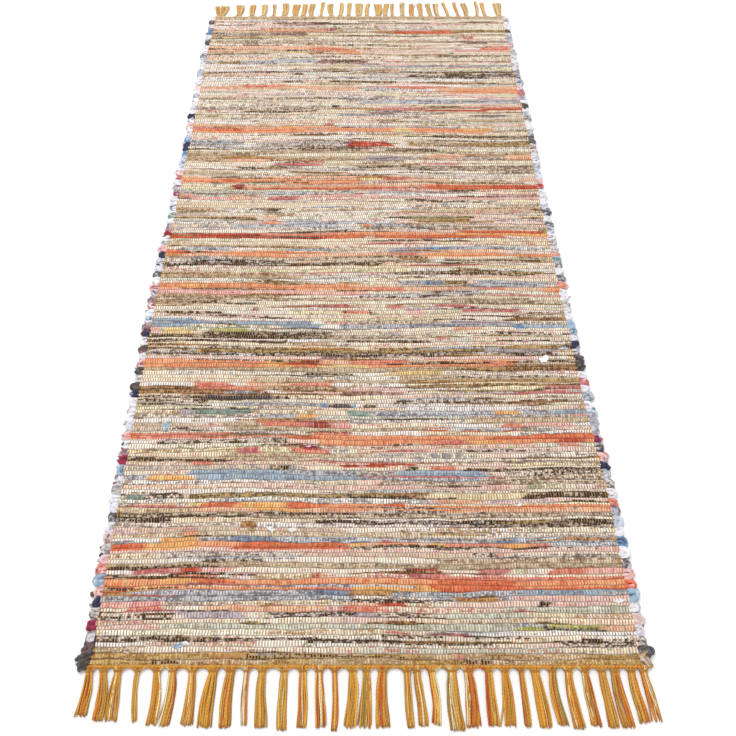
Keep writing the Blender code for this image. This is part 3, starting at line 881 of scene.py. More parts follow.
# Which end lies over the rags at each place, and how the cloth sinks between two rags. In pitches between two
# ends: the edge ends are thicker, an end is round and blurred at its sides, and the rag sinks beside it.
EDGE_THICKER, YARN_ROUND, YARN_BLUR, GROOVE_REACH = 0.22, 0.35, (0.07, 0.03), 0.30
VALLEY_REACH = 0.55  # the share of a rag's arch that is in the valley
FIRST_X, LAST_X = -0.6, WARPS - 0.4  # in end numbers, where the cloth starts and ends
PLY_TURNS, PLY_SLANT = 40.0, 7.0  # radians of the ply over one rag and from one end to the next
interlacing, given, gives = new_group(
    "interlacing", {"Weave": "VECTOR", "Yarn Width": 0.86},
    {"Warp": 0.0, "End Number": 0.0, "Valley": 0.0, "Groove": 0.0, "Ply": 0.0, "Heading": 0.0})
make = Maker(interlacing)
weave = make.node("SeparateXYZ", Vector=given["Weave"]).outputs
number = make.math("ROUND", weave["X"])
row = make.math("FLOOR", weave["Y"])
under_side = make.math("ROUND", weave["Z"])
steps = make.math("ADD", make.math("ADD", number, row), under_side)
over = make.math("LESS_THAN", make.math("FLOORED_MODULO", steps, 2.0), 0.5)
arch = make.math("SINE", make.times(make.math("FRACT", weave["Y"]), math.pi))
from_middle = make.math("ABSOLUTE", make.math("SUBTRACT", number, MIDDLE_END))
at_edge = make.math("GREATER_THAN", from_middle, MIDDLE_END - EDGE_ENDS + 0.5)
yarn_width = make.math("MULTIPLY_ADD", at_edge, EDGE_THICKER, given["Yarn Width"])
half = make.times(make.math("POWER", arch, YARN_ROUND), make.times(yarn_width, 0.5))
aside = make.math("ABSOLUTE", make.math("SUBTRACT", weave["X"], number))
blur_from, blur_to = (make.math(way, half, by) for way, by in zip(("SUBTRACT", "ADD"), YARN_BLUR))
inside = make.ramp(aside, blur_from, blur_to, 1.0, 0.0)
beside = make.ramp(aside, half, make.math("ADD", half, GROOVE_REACH), 1.0, 0.0)
after_first = make.math("GREATER_THAN", weave["X"], FIRST_X)
in_cloth = make.times(after_first, make.math("LESS_THAN", weave["X"], LAST_X))
ply_turn = make.math("ADD", make.times(weave["Y"], PLY_TURNS), make.times(weave["X"], PLY_SLANT))
make.put(gives["Warp"], make.times(over, inside, in_cloth))
make.put(gives["End Number"], number)
make.put(gives["Heading"], make.math("LESS_THAN", weave["Y"], HEADING))
make.put(gives["Groove"], make.times(over, beside, in_cloth))
make.put(gives["Valley"], make.ramp(arch, 0.0, VALLEY_REACH, 1.0, 0.0))
make.put(gives["Ply"], make.math("SINE", ply_turn))

# The colours of the ends: mostly gold, with orange, cream and grey-olive, and a dark red one now and then.
# Each of these starts at a share from 0 to 1.
WARP_DYES = ((0.00, (186, 142, 84)), (0.30, (190, 152, 98)), (0.50, (178, 124, 72)), (0.62, (208, 180, 130)),
             (0.74, (156, 130, 92)), (0.82, (218, 198, 156)), (0.90, (162, 116, 68)), (0.96, (140, 122, 96)))
DARK_DYE, DARK_EVERY, DARK_ALSO = (128, 80, 66), 15.0, 7.0  # two dark ends in every fifteen
EDGE_DYE = (204, 152, 74)
yarn_dyes, given, gives = new_group("warp yarn dyes", {"Number": 0.0, "Dark Ends": 1.0}, {"Color": "COLOR"})
make = Maker(yarn_dyes)
pick = make.node("TexWhiteNoise", {"noise_dimensions": "1D"}, W=make.math("ADD", given["Number"], 0.37))
dyes = make.node("ValToRGB", Fac=pick.outputs["Value"])
dyes.color_ramp.interpolation = "CONSTANT"
for start, _ in WARP_DYES[1:]:
    dyes.color_ramp.elements.new(start)
stops = sorted(dyes.color_ramp.elements, key=lambda stop: stop.position)
for stop, (start, colour) in zip(stops, WARP_DYES):
    stop.color = (*paint(*colour), 1.0)
repeat = make.math("FLOORED_MODULO", given["Number"], DARK_EVERY)
dark = make.math("MAXIMUM", make.math("LESS_THAN", repeat, 0.5), make.math("COMPARE", repeat, DARK_ALSO, 0.5))
mixed = make.mix(make.times(dark, given["Dark Ends"]), dyes.outputs["Color"], paint(*DARK_DYE))
from_middle = make.math("ABSOLUTE", make.math("SUBTRACT", given["Number"], MIDDLE_END))
at_edge = make.math("GREATER_THAN", from_middle, MIDDLE_END - EDGE_ENDS + 0.5)
make.put(gives["Color"], make.mix(at_edge, mixed, paint(*EDGE_DYE)))

# Cotton cloth seen close: folds along the strip, painted darker in their hollows and lighter on their ridges
# as painted shade and light, fibres, and a little unevenness of the dye
FOLDS_IN_METRE, MOTTLES_IN_METRE = 900.0, 260.0
torn_cotton, given, gives = new_group(
    "torn cotton", {"Place": "VECTOR", "Color": "COLOR", "Fading": 0.12}, {"Color": "COLOR", "Folds": 0.0})
make = Maker(torn_cotton)
stretched = make.node("VectorMath", {"operation": "MULTIPLY"})
make.put(stretched.inputs[0], given["Place"])
stretched.inputs[1].default_value = (0.25, 1.0, 1.0)
folds = make.node("TexNoise", Vector=stretched.outputs[0], Scale=FOLDS_IN_METRE, Detail=3.0, Roughness=0.6)
folds = folds.outputs[0]
mottle = make.node("TexNoise", Vector=given["Place"], Scale=MOTTLES_IN_METRE, Detail=2.0).outputs[0]
# Painted shade and light from the folds, with the dye's own mottle
fold_shade_and_mottle = make.math("SUBTRACT", make.math("ADD", make.times(folds, 1.2), mottle), 1.1)
shade = make.math("ADD", 1.0, make.times(given["Fading"], fold_shade_and_mottle))
tone = make.node("CombineColor", Red=shade, Green=shade, Blue=shade)
make.put(gives["Color"], make.mix(1.0, given["Color"], tone.outputs[0], "MULTIPLY"))
make.put(gives["Folds"], folds)

# Rags, with the ends of yarn that lie over them. An end takes some of the colour of the rag under it.
GROOVE_SHADE, VALLEY_SHADE, YARN_SHADE = (98, 70, 44), (70, 52, 40), (92, 60, 36)
GROOVE_DARK, HEADING_DARKER, VALLEY_DARK, YARN_DARK = 0.44, 0.35, 0.57, 0.35  # how strongly each shades
RAG_STAIN, STAINED = (194, 156, 136), 0.36  # how the rag's colour dulls on an end, and how much it takes
HEADING_GOLD, GOLDEN = (204, 152, 76), 0.75  # the colour of the ends in the heading, and how much they take
cloth_finish, make, sockets, dye, place = cotton("woven rags", sheen=0.12)
weave = make.node("Attribute", {"attribute_name": "weave"}).outputs["Vector"]
laced = make.node("Group", {"node_tree": interlacing}, Weave=weave, Yarn_Width=0.70).outputs
yarn = make.node("Group", {"node_tree": yarn_dyes}, Number=laced["End Number"], Dark_Ends=0.8)
rag = make.node("Group", {"node_tree": torn_cotton}, Place=place, Color=dye, Fading=0.16).outputs
# Painted shade: the rag darkens in the grooves beside the ends, more so in the heading, and in the valleys
# between two rags; the ends darken where they dip into the valleys
groove_dark = make.math("MULTIPLY_ADD", laced["Heading"], HEADING_DARKER, GROOVE_DARK)
groove_shaded = make.mix(make.times(laced["Groove"], groove_dark), rag["Color"], paint(*GROOVE_SHADE))
shaded = make.mix(make.times(laced["Valley"], VALLEY_DARK), groove_shaded, paint(*VALLEY_SHADE))
under_yarn = make.mix(1.0, rag["Color"], paint(*RAG_STAIN), "MULTIPLY")
stained = make.mix(STAINED, yarn.outputs["Color"], under_yarn)
golden = make.mix(make.times(laced["Heading"], GOLDEN), stained, paint(*HEADING_GOLD))
yarn_shaded = make.mix(make.times(laced["Valley"], YARN_DARK), golden, paint(*YARN_SHADE))
make.put(sockets["Base Color"], make.mix(laced["Warp"], shaded, yarn_shaded))
make.put(sockets["Roughness"], make.ramp(rag["Folds"], 0.3, 0.7, 0.82, 0.96))
rag_relief = make.times(rag["Folds"], make.math("SUBTRACT", 1.0, laced["Warp"]))
yarn_relief = make.times(laced["Warp"], make.math("MULTIPLY_ADD", laced["Ply"], 0.12, 0.75))
relief = make.math("ADD", rag_relief, yarn_relief)
bump = make.node("Bump", Height=relief, Strength=0.6, Distance=0.0005)
make.put(sockets["Normal"], bump.outputs["Normal"])

# The cloth is woven in one length. Here it is five stretches of 40 rags that meet between two rags.
STRETCHES = 5
UNDER_STEP = 11  # every eleventh end has points on the under side
# Where the faces of a stretch lie in the flat chart of its colours: the upper side fills the chart's foot,
# the under side starts half way up, and the walls are a thin strip at its head
TOP_TALL, UNDER_AT, WALLS_AT, WALLS_TALL = 1.8, 0.5, 0.985, 0.4


def quad_corners(values):
    """What the four corners of each quad of some bands take from the points at the band's two sides."""
    return np.stack([values[:, :-1], values[:, 1:], values[:, 1:], values[:, :-1]], axis=2)


laid_x, laid_y, laid_z, end_number = laid_points()
dyed = chart_dyes(len(end_number))
lines_each = PICKS // STRETCHES * STEPS
under_columns = np.arange(0, len(end_number), UNDER_STEP)
for stretch in range(STRETCHES):
    lines = np.arange(stretch * lines_each, (stretch + 1) * lines_each + 1)
    under_lines = lines[::2]
    top = np.stack([laid_x[lines], laid_y[lines], laid_z[lines]], axis=-1)
    below = np.ix_(under_lines, under_columns)
    depth = np.where(under_lines % STEPS == 0, UNDER_LINES[0].height, UNDER_LINES[1].height) * MM
    depth = np.repeat(depth[:, None], len(under_columns), axis=1)
    under = np.stack([laid_x[below], laid_y[below], depth], axis=-1)
    points = np.concatenate([top.reshape(-1, 3), under.reshape(-1, 3)])

    rows_down, wide = top.shape[:2]
    first_under = rows_down * wide
    top_index = np.arange(first_under).reshape(rows_down, wide)
    under_index = first_under + np.arange(depth.size).reshape(depth.shape)
    top_quads = grid_faces(rows_down, wide)
    under_quads = grid_faces(*depth.shape, first_under)[:, ::-1]
    walls = [
        skirt(top_index[0], under_index[0])[:, ::-1], skirt(top_index[-1], under_index[-1]),
        skirt(top_index[:, 0], under_index[:, 0]), skirt(top_index[:, -1], under_index[:, -1])[:, ::-1],
    ]
    quads = np.concatenate([top_quads, under_quads])
    mesh, corners = mesh_of(f"rag_cloth_{stretch + 1}", points, quads, np.concatenate(walls))

    # The end, the row and the side of the cloth at each point
    weave_at = np.zeros((len(points), 3))
    weave_at[:first_under, 0] = np.tile(end_number, rows_down)
    weave_at[:first_under, 1] = np.repeat(lines // STEPS + [TOP_LINES[i % STEPS].share for i in lines], wide)
    weave_at[first_under:, 0] = np.tile(end_number[under_columns], len(under_lines))
    weave_at[first_under:, 1] = np.repeat(under_lines / STEPS, len(under_columns))
    weave_at[first_under:, 2] = 1.0
    mark_points(mesh, "weave", weave_at)

    # The dye at each corner. All faces of a band take the band's own dye, so that rows meet in a clean line.
    under_dyed = dyed[np.ix_(under_lines[:-1] + 1, under_columns)]
    held = np.minimum(lines, PICKS * STEPS - 1)
    point_dye = np.concatenate([
        dyed[held].reshape(-1, 3), dyed[np.ix_(held[::2], under_columns)].reshape(-1, 3),
    ])
    wall_corners = corners[quads.size:]
    colour_corners(mesh, np.concatenate([
        quad_corners(dyed[lines[:-1]]).reshape(-1, 3), quad_corners(under_dyed)[:, :, ::-1].reshape(-1, 3),
        point_dye[wall_corners],
    ]))
    along = (points[:, 1] - points[0, 1]) / CLOTH_LENGTH * TOP_TALL
    uv = np.stack([points[:, 0] / CLOTH_LENGTH + 0.5, along], 1)[corners]
    uv[top_quads.size:, 1] += UNDER_AT
    uv[quads.size:, 1] = WALLS_AT + WALLS_TALL * points[wall_corners, 2]
    mesh.uv_layers.new(name="OFBake").data.foreach_set("uv", uv.astype(np.float32).ravel())

    piece = add_piece(f"rag_cloth_{stretch + 1}", mesh, cloth_finish)
    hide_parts("rag_cloth")

# ---------------------------------------------------------------------------------------------------------
# The selvedges. At a row's end the rag turns round the outermost end of yarn into the next row, as a plump
# folded loop that stands out past the cloth. The two sides are one row out of step with each other.

LOOP_REACH, LOOP_SPREAD = 13.0, 2.3  # mm past the outermost end
LOOP_ACROSS, LOOP_TALL = 4.5, 2.3  # mm, half the folded rag's width and height
LOOP_RINGS, LOOP_SIDES = 13, 14
LOOP_ROOT, LOOP_HEIGHT = 3.4, 2.45  # mm that a loop starts inside the cloth's edge, and its height there
LOOP_LEAN = 3.0  # mm that a loop leans along the edge
LOOP_WIDE = (1.0, 1.35)  # how wide a loop is beside the two rows that it joins
LOOP_LIFT, LOOP_BUMP = (-0.1, 1.5), 0.3  # mm that a loop's tip is lifted, and that it is uneven along its way
LOOP_PLUMP, LOOP_FLAT = (0.85, 1.15), (0.80, 1.05)  # how much loops differ in width and in height
FOLD_DEPTH, TUFT_DEPTH = 0.42, 0.45  # the share that a rag's folds stand out
# The first two loops of a side are crumpled tails of rags that end in the near corner: their reach in mm, how
# much more pleated they are, how narrow the first is, and how thick they are at five turns of the loop
TAIL_REACH, TAIL_PLEATS, TAIL_NARROW = 15.0, 1.5, 0.35
TAIL_TURNS, TAIL_THICK = (0, 0.9, 1.6, 2.3, math.pi), (0.55, 1.15, 0.55, 0.95, 0.45)
EDGE_TUFTS, TUFT_RINGS, TUFT_SIDES = 210, 6, 7  # small torn ends that poke out between the loops, each side
TUFT_LONG, TUFT_WIDE, TUFT_HEIGHT = (3.5, 8.0), (0.9, 3.0), (1.4, 4.4)  # mm, a tuft's size and its height
TUFT_OUT, TUFT_AIM, TUFT_TALL = (-0.5, 7.0), 1.5, 0.9  # mm out, radians either way, and mm of half thickness
TUFT_BUMP, TUFT_DROOP = 0.4, 0.8  # mm that a tuft is uneven, and that its tip hangs
TUFT_DYES = (
    "navy", "navy", "navy", "soot", "soot", "charcoal", "pearl", "pearl", "lavender", "denim", "sky",
    "slate", "mauve", "magenta", "pink", "grey",
)
LEFT_LOOPS = """
    soot soot speckle magenta speckle navy pink sky coral pink grey blush pearl charcoal pearl pearl grey
    pearl sky magenta mauve pearl pink pearl pearl pearl pearl navy soot pearl soot coral pearl soot pearl
    navy mauve denim pearl rose mauve lavender coral pearl charcoal pearl slate navy pink grey pearl crimson
    mauve pearl teal pearl pearl pearl magenta lavender pearl coral pink pearl slate slate denim navy navy
    denim pearl pearl pink pearl navy pearl lavender pearl pearl slate pearl blush pearl pearl slate slate
    pearl pearl slate charcoal pearl pearl soot charcoal pearl denim denim pearl soot pearl
""".split()
RIGHT_LOOPS = """
    soot speckle pearl blush pearl sky tangerine pink charcoal pearl denim pearl slate lavender coral pearl
    speckle slate navy pink charcoal magenta lavender lavender slate pearl slate pearl rose pearl soot soot
    charcoal navy pearl sky sky pearl pearl grey pearl pearl coral charcoal pearl mauve teal coral grey grey
    pearl grey charcoal pearl charcoal slate pearl pearl pearl red pink pearl slate slate pearl pearl grey
    mauve soot charcoal slate pearl pearl speckle slate pearl soot pearl lavender rose rose pearl slate
    charcoal mauve pearl grey pearl pearl grey blush coral pearl lavender pearl soot pearl pearl grey pearl
""".split()


def tubes(paths, across, tall, sides, upright=(0, 0, 1), pleats=1.0):
    """Closed tubes along many paths: points, quads and end triangles. Across and tall are half sizes."""
    ahead = np.gradient(paths, axis=1)
    ahead /= np.linalg.norm(ahead, axis=2, keepdims=True)
    side = np.cross(ahead, upright)
    side /= np.linalg.norm(side, axis=2, keepdims=True)
    up = np.cross(side, ahead)
    turn = math.tau * np.arange(sides) / sides
    out = (np.broadcast_to(across, paths.shape[:2])[..., None] * np.cos(turn) * pleats)[..., None]
    rise = (np.broadcast_to(tall, paths.shape[:2])[..., None] * np.sin(turn) * pleats)[..., None]
    points = paths[:, :, None] + side[:, :, None] * out + up[:, :, None] * rise
    count, rings = paths.shape[:2]
    index = np.arange(count * rings * sides).reshape(count, rings, sides)
    after = np.roll(index, -1, axis=2)
    quads = np.stack([index[:, :-1], index[:, 1:], after[:, 1:], after[:, :-1]], axis=-1).reshape(-1, 4)
    caps = []
    for k in range(1, sides - 1):
        caps.append(index[:, 0, [0, k, k + 1]])
        caps.append(index[:, -1, [0, k + 1, k]])
    return points.reshape(-1, 3), quads, np.concatenate(caps)


def joined(shapes):
    """The points, quads and triangles of several shapes as one."""
    points, *faces = zip(*shapes)
    firsts = np.cumsum([0, *map(len, points)])
    return np.concatenate(points), *(
        np.concatenate([part + first for part, first in zip(parts, firsts)]) for parts in faces)


def rag_tube_mesh(name, shape, point_dyes):
    """A mesh of rag tubes, dyed point by point."""
    mesh, corners = mesh_of(name, *shape)
    colour_corners(mesh, point_dyes[corners])
    return mesh


# The backs of printed rags, the rags that have none, and the dark of the frayed edges, which lies in the
# folds' hollows and so is partly painted shade
PALE_BACKS = ((240, 239, 244), (212, 214, 232), (232, 226, 232))
DYED_THROUGH = ("soot", "olive", "navy")
FRAY_AND_CREASE_DARKS = ((40, 38, 52), (64, 66, 96), (58, 48, 48), (120, 128, 150), (150, 92, 108))
BACK_FROM, FRAY_AND_CREASE_FROM = (0.1, 1.0), (-1.1, -0.25)  # how high and how low in a fold they start
MOST_INK, MOST_BACK, MOST_FRAY_AND_CREASE, SHARPNESS = 0.8, 0.9, 0.85, 4  # how fully each covers, and how sharply
# ROOT_SHADE and CREST_LIGHT are painted shade in a fold's valley and painted light on its crest
ROOT_SHADE, CREST_LIGHT = 0.82, 0.2  # how dark a fold's valley is, and how much lighter its crest


def folds_of(draw, count, rings, sides, depth):
    """Lengthwise folds in some rag tubes, from -1 to 1, and how far each point stands out with them."""
    along, turn = np.arange(rings)[:, None] / rings, math.tau * np.arange(sides) / sides
    folds, start, drift = draw.integers(2, 4, (count, 1, 1)), *draw.uniform(0, math.tau, (2, count, 1, 1))
    wave = np.sin(folds * turn + start + (drift - math.pi) * 1.6 * along)
    crease = np.sin((folds + 2) * turn + 2 * start - 2 * drift * along)
    kink = draw.uniform(-1, 1, (count, rings, sides))
    return wave, 1 + depth * (0.55 * wave + 0.30 * crease + 0.25 * kink)


def rag_dyes(draw, names, folds):
    """Colours of every point of some rag tubes: a print, a pale back, and a dark torn edge in the folds'
    hollows that is partly painted shade, all under painted shade in the folds' valleys and painted light on
    their crests.
    """
    colours = []
    for name, fold in zip(names, folds):
        rag = RAGS[name]
        blots = draw.uniform(-1, 1, (2, *fold.shape))
        blots = (blots + np.roll(blots, 1, 1) + np.roll(blots, 1, 2)) / 2
        tone = (0.5 * fold + 0.8 * blots[0])[..., None]
        ink = np.clip(SHARPNESS * (blots[1][..., None] - 1 + 2 * rag.inked), 0, MOST_INK)
        back = linear(PALE_BACKS[draw.integers(len(PALE_BACKS))])
        edge = linear(FRAY_AND_CREASE_DARKS[draw.integers(len(FRAY_AND_CREASE_DARKS))])
        turned = np.clip(SHARPNESS * (tone - draw.uniform(*BACK_FROM)), 0, MOST_BACK)
        turned = turned * (name not in DYED_THROUGH)
        # The dark torn edge lies in the folds' hollows: partly real fray, partly painted shade
        fray_and_crease_shade = np.clip(SHARPNESS * (draw.uniform(*FRAY_AND_CREASE_FROM) - tone), 0, MOST_FRAY_AND_CREASE)
        colour = linear(rag.dye) * (1 - ink) + linear(rag.ink) * ink
        colour = (colour * (1 - turned) + back * turned) * (1 - fray_and_crease_shade) + edge * fray_and_crease_shade
        # Painted shade in the folds' valleys and painted light on their crests
        light = ROOT_SHADE + CREST_LIGHT * np.clip(fold[..., None] + 0.8, 0, 1)
        colours.append(colour * light * draw.uniform(0.88, 1.04))
    return np.clip(np.concatenate(colours, axis=0).reshape(-1, 3), 0, 1)


def selvedge_loops(draw, side, names, start_y, end_y, base):
    """The loops of one selvedge, as a shape and its colours. The first two are the near corner's tails."""
    loops = len(names)
    reach = LOOP_REACH + draw.uniform(-LOOP_SPREAD, LOOP_SPREAD, loops)
    reach[:2] = TAIL_REACH, TAIL_REACH - LOOP_SPREAD
    turn = np.linspace(0, math.pi, LOOP_RINGS)
    out = (reach - LOOP_ACROSS - BORDER / MM + LOOP_ROOT)[:, None] * MM * np.sin(turn) ** 0.5
    lean = draw.uniform(-LOOP_LEAN, LOOP_LEAN, (loops, 1)) * MM * np.sin(turn) ** 2
    half = (end_y - start_y)[:, None] / 2 * draw.uniform(*LOOP_WIDE, (loops, 1))
    half[0] *= TAIL_NARROW
    lift = draw.uniform(*LOOP_LIFT, (loops, 1)) * np.sin(turn)
    lift = lift + draw.uniform(-LOOP_BUMP, LOOP_BUMP, (loops, LOOP_RINGS))
    along = (start_y + end_y)[:, None] / 2 - half * np.cos(turn) + lean
    paths = np.stack([base[:, None] + side * out, along, (LOOP_HEIGHT + lift) * MM], axis=-1)
    folds, pleats = folds_of(draw, loops, LOOP_RINGS, LOOP_SIDES, FOLD_DEPTH)
    pleats[:2] = 1 + TAIL_PLEATS * (pleats[:2] - 1)
    across = LOOP_ACROSS * MM * draw.uniform(*LOOP_PLUMP, (loops, LOOP_RINGS))
    across *= draw.uniform(*LOOP_PLUMP, (loops, 1))
    across[:2] *= np.interp(turn, TAIL_TURNS, TAIL_THICK)
    tall = LOOP_TALL * MM * draw.uniform(*LOOP_FLAT, (loops, 1))
    return tubes(paths, across, tall, LOOP_SIDES, pleats=pleats), rag_dyes(draw, names, folds)


def edge_tufts(draw, side, start_y, base):
    """The small torn ends along one selvedge, as a shape and its colours."""
    place = draw.uniform(-0.985, 0.985, EDGE_TUFTS) * CLOTH_LENGTH / 2
    root = np.interp(place, start_y, base) + side * (LOOP_ROOT + draw.uniform(*TUFT_OUT, EDGE_TUFTS)) * MM
    aim = draw.uniform(-TUFT_AIM, TUFT_AIM, EDGE_TUFTS)
    tuft_length = draw.uniform(*TUFT_LONG, EDGE_TUFTS) * MM
    share = np.linspace(0, 1, TUFT_RINGS)
    paths = np.stack([
        root[:, None] + side * (tuft_length * np.cos(aim))[:, None] * share,
        place[:, None] + (tuft_length * np.sin(aim))[:, None] * share,
        (draw.uniform(*TUFT_HEIGHT, EDGE_TUFTS)[:, None] - TUFT_DROOP * share) * MM,
    ], axis=-1)
    paths += draw.uniform(-TUFT_BUMP, TUFT_BUMP, paths.shape) * MM
    folds, pleats = folds_of(draw, EDGE_TUFTS, TUFT_RINGS, TUFT_SIDES, TUFT_DEPTH)
    width = draw.uniform(*TUFT_WIDE, (EDGE_TUFTS, 1)) * MM
    width = width * (0.25 + 0.75 * np.sin(math.pi * (0.15 + 0.75 * share)))
    shape = tubes(paths, width, TUFT_TALL * MM, TUFT_SIDES, pleats=pleats)
    return shape, rag_dyes(draw, draw.choice(TUFT_DYES, EDGE_TUFTS), folds)


# Folded and torn rag seen close, for the loops and the loose ends
loop_finish, make, sockets, dye, place = cotton("folded rag", sheen=0.12)
rag = make.node("Group", {"node_tree": torn_cotton}, Place=place, Color=dye, Fading=0.25).outputs
make.put(sockets["Base Color"], rag["Color"])
make.put(sockets["Roughness"], make.ramp(rag["Folds"], 0.3, 0.7, 0.80, 0.95))
bump = make.node("Bump", Height=rag["Folds"], Strength=0.7, Distance=0.001)
make.put(sockets["Normal"], bump.outputs["Normal"])

for side_name, side, names, first_row in (("left", -1, LEFT_LOOPS, 0), ("right", 1, RIGHT_LOOPS, 1)):
    draw = np.random.default_rng(21 + side)
    edge = 0 if side < 0 else -1
    line = np.minimum(first_row + 2 * np.arange(len(names)), PICKS - 2) * STEPS + STEPS // 2
    start_y, end_y = laid_y[line, edge], laid_y[line + STEPS, edge]
    base = laid_x[line, edge] - side * LOOP_ROOT * MM
    shape, colours = selvedge_loops(draw, side, names, start_y, end_y, base)
    tufts, tuft_colours = edge_tufts(draw, side, start_y, base)
    points, *faces = joined([shape, tufts])
    points = np.maximum(points, (-1, -1, 0.05 * MM))  # nothing goes into the floor
    colours = np.concatenate([colours, tuft_colours])
    mesh = rag_tube_mesh(f"selvedge_loops_{side_name}", (points, *faces), colours)
    piece = add_piece(f"selvedge_loops_{side_name}", mesh, loop_finish)
    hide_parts("rag_cloth")

# ---------------------------------------------------------------------------------------------------------
# Loose rag ends. Where one rag is joined to the next, or ends in a corner, a torn end pokes up out of the
# cloth as a small crumpled tuft. The corner ones are thicker and stick out slanting past the cloth.

RagEnd = namedtuple("RagEnd", "across row length width rise rag angle", defaults=(0,))
# Millimetres from the middle, the row that it comes out of, its length and width, how far it stands up, its
# rag, and for the corner ends the degrees that it is turned away from the rows
RAG_ENDS = [RagEnd(*end) for end in (
    (-230, 3.0, 16, 9, 2.6, "sky"), (-222, 3.6, 10, 7, 3.0, "white"), (-293, 2.6, 14, 8, 2.2, "khaki"),
    (330, 11.4, 16, 7, 2.4, "white"), (-150, 24.6, 12, 8, 2.4, "olive"), (-124, 24.5, 11, 8, 2.8, "white"),
    (-95, 24.6, 10, 8, 2.6, "white"), (55, 24.2, 10, 6, 2.0, "olive"), (-287, 47.4, 7, 17, 2.4, "sky"),
    (-57, 52.4, 9, 8, 2.4, "denim"), (-12, 52.6, 8, 7, 2.2, "sky"), (290, 64.4, 15, 20, 3.4, "white"),
    (-70, 74.5, 12, 6, 2.2, "white"), (10, 88.4, 12, 6, 2.2, "white"), (135, 97.6, 18, 7, 2.2, "denim"),
    (-226, 119.8, 20, 8, 2.6, "crimson"), (-19, 137.2, 8, 12, 2.2, "crimson"),
    (28, 137.2, 40, 8, 2.0, "red"), (-48, 153.1, 12, 10, 2.2, "navy"), (-60, 193.0, 16, 9, 2.2, "crimson"),
    (-103, 187.6, 10, 8, 2.4, "white"), (206, 181.5, 8, 6, 2.0, "olive"), (215, 42.4, 10, 6, 1.8, "lime"),
    (-76, 42.4, 18, 6, 1.8, "magenta"), (-173, 78.4, 6, 9, 2.2, "magenta"), (0, 37.6, 22, 6, 1.8, "coral"),
    (338, 119.6, 14, 9, 2.4, "red"), (258, 73.2, 16, 8, 2.0, "denim"), (112, 131.6, 12, 8, 2.0, "lavender"),
    (-262, 66.5, 12, 7, 1.8, "lavender"), (322, 67.0, 22, 8, 2.0, "lavender"),
    (-12, 106.4, 12, 7, 2.2, "white"), (214, 29.6, 8, 6, 2.0, "white"),
    (-346, 2.7, 24, 14, 4.0, "soot", 62), (-349, 1.6, 24, 11, 4.4, "soot", 16),
    (-350, 0.4, 20, 12, 3.4, "soot", 66), (347, 2.7, 24, 13, 4.0, "soot", 14),
    (344, 1.0, 22, 15, 3.4, "tan", -48), (345, 2.0, 17, 7, 4.2, "khaki", 30),
)]
END_RINGS, END_SIDES = 12, 12
END_HEIGHT, END_TALL = 2.9, 1.3  # mm, how high its foot is, and half its thickness
END_WAVE, END_THICK = 0.15, (0.6, 1.15)  # the share of its width that an end waves, and how uneven it is
CORNER_PLEATS = 1.8  # how much more crumpled the corner ends are
PAST_CLOTH = 0.33  # metres from the middle, past which an end keeps its own place across


def rag_end_values(field):
    """One field of all the rag ends, as a column."""
    return np.array([getattr(end, field) for end in RAG_ENDS])[:, None]


draw = np.random.default_rng(63)
share = np.linspace(0, 1, END_RINGS)
arch = np.sin(math.pi * share)
end_length, wide, rise = (rag_end_values(field) * MM for field in ("length", "width", "rise"))
angle = np.radians(rag_end_values("angle"))
column = [int((end.across * MM / WARP_WIDTH + 0.5) * (WARPS - 1)) + 2 for end in RAG_ENDS]
column = np.clip(column, 0, WARPS + 3)
line = np.array([int(end.row * STEPS) for end in RAG_ENDS])
in_cloth = laid_x[line, column][:, None]
middle = np.where(abs(in_cloth) > PAST_CLOTH, rag_end_values("across") * MM, in_cloth)
waves = np.sin(math.tau * share * 0.8 + draw.uniform(0, 6, (len(RAG_ENDS), 1)))
paths = np.stack([
    middle + end_length * (share - 0.5) * np.cos(angle),
    laid_y[line, column][:, None] + end_length * (share - 0.5) * np.sin(angle) + END_WAVE * wide * waves,
    END_HEIGHT * MM + 0.5 * rise * arch ** 0.6,
], axis=-1)
half = wide / 2 * (0.25 + 0.6 * arch) * draw.uniform(*END_THICK, (len(RAG_ENDS), END_RINGS))
folds, pleats = folds_of(draw, len(RAG_ENDS), END_RINGS, END_SIDES, FOLD_DEPTH)
pleats = 1 + (pleats - 1) * np.where(angle == 0, 1.0, CORNER_PLEATS)[..., None]
shape = tubes(paths, half, END_TALL * MM * (0.5 + 0.5 * arch), END_SIDES, pleats=pleats)
colours = rag_dyes(draw, [end.rag for end in RAG_ENDS], folds)
loose_ends = add_piece("loose_rag_ends", rag_tube_mesh("loose_rag_ends", shape, colours), loop_finish)
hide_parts("rag_cloth")

# ---------------------------------------------------------------------------------------------------------
# The fringes. At each end of the cloth the warp yarn is left long, gathered a dozen ends at a time and tied
# in an overhand knot against a twined heading cord. Past the knot the bundle spreads into a blunt fray.

Tassel = namedtuple("Tassel", "across lean spread length")
# Millimetres: where the knot is across the rug, how far the tip leans to the right, its width, the length
NEAR_TASSELS = [Tassel(*tassel) for tassel in (
    (-340, -1.5, 13, 57), (-323, 1.5, 13, 62), (-305, 0, 14, 62), (-281, 5, 6, 63), (-257, 1, 12, 66),
    (-238, -3, 12, 68), (-214, -1, 11, 67), (-188, -4, 18, 69), (-167, -2, 15, 69), (-147, 1, 7, 66),
    (-128, 1.5, 12, 69), (-101, 0, 11, 72), (-78, 2, 12, 69), (-58, 3, 12, 69), (-39, 0, 7, 72),
    (-17, -3.5, 13, 69), (0, -2, 14, 69), (20, 0.5, 15, 69), (50, 2, 9, 69), (62, 5, 12, 67),
    (80, 3, 9, 66), (105, 2.5, 17, 72), (125, 0, 15, 69), (150, 0, 12, 67), (170, -1.5, 14, 68),
    (190, 1, 7, 68), (207, 4, 15, 69), (228, 3.5, 11, 67), (248, 3, 12, 70), (268, 4, 11, 68),
    (289, 4, 10, 69), (305, 5, 15, 69), (325, 5, 11, 64), (340, 5, 11, 63),
)]
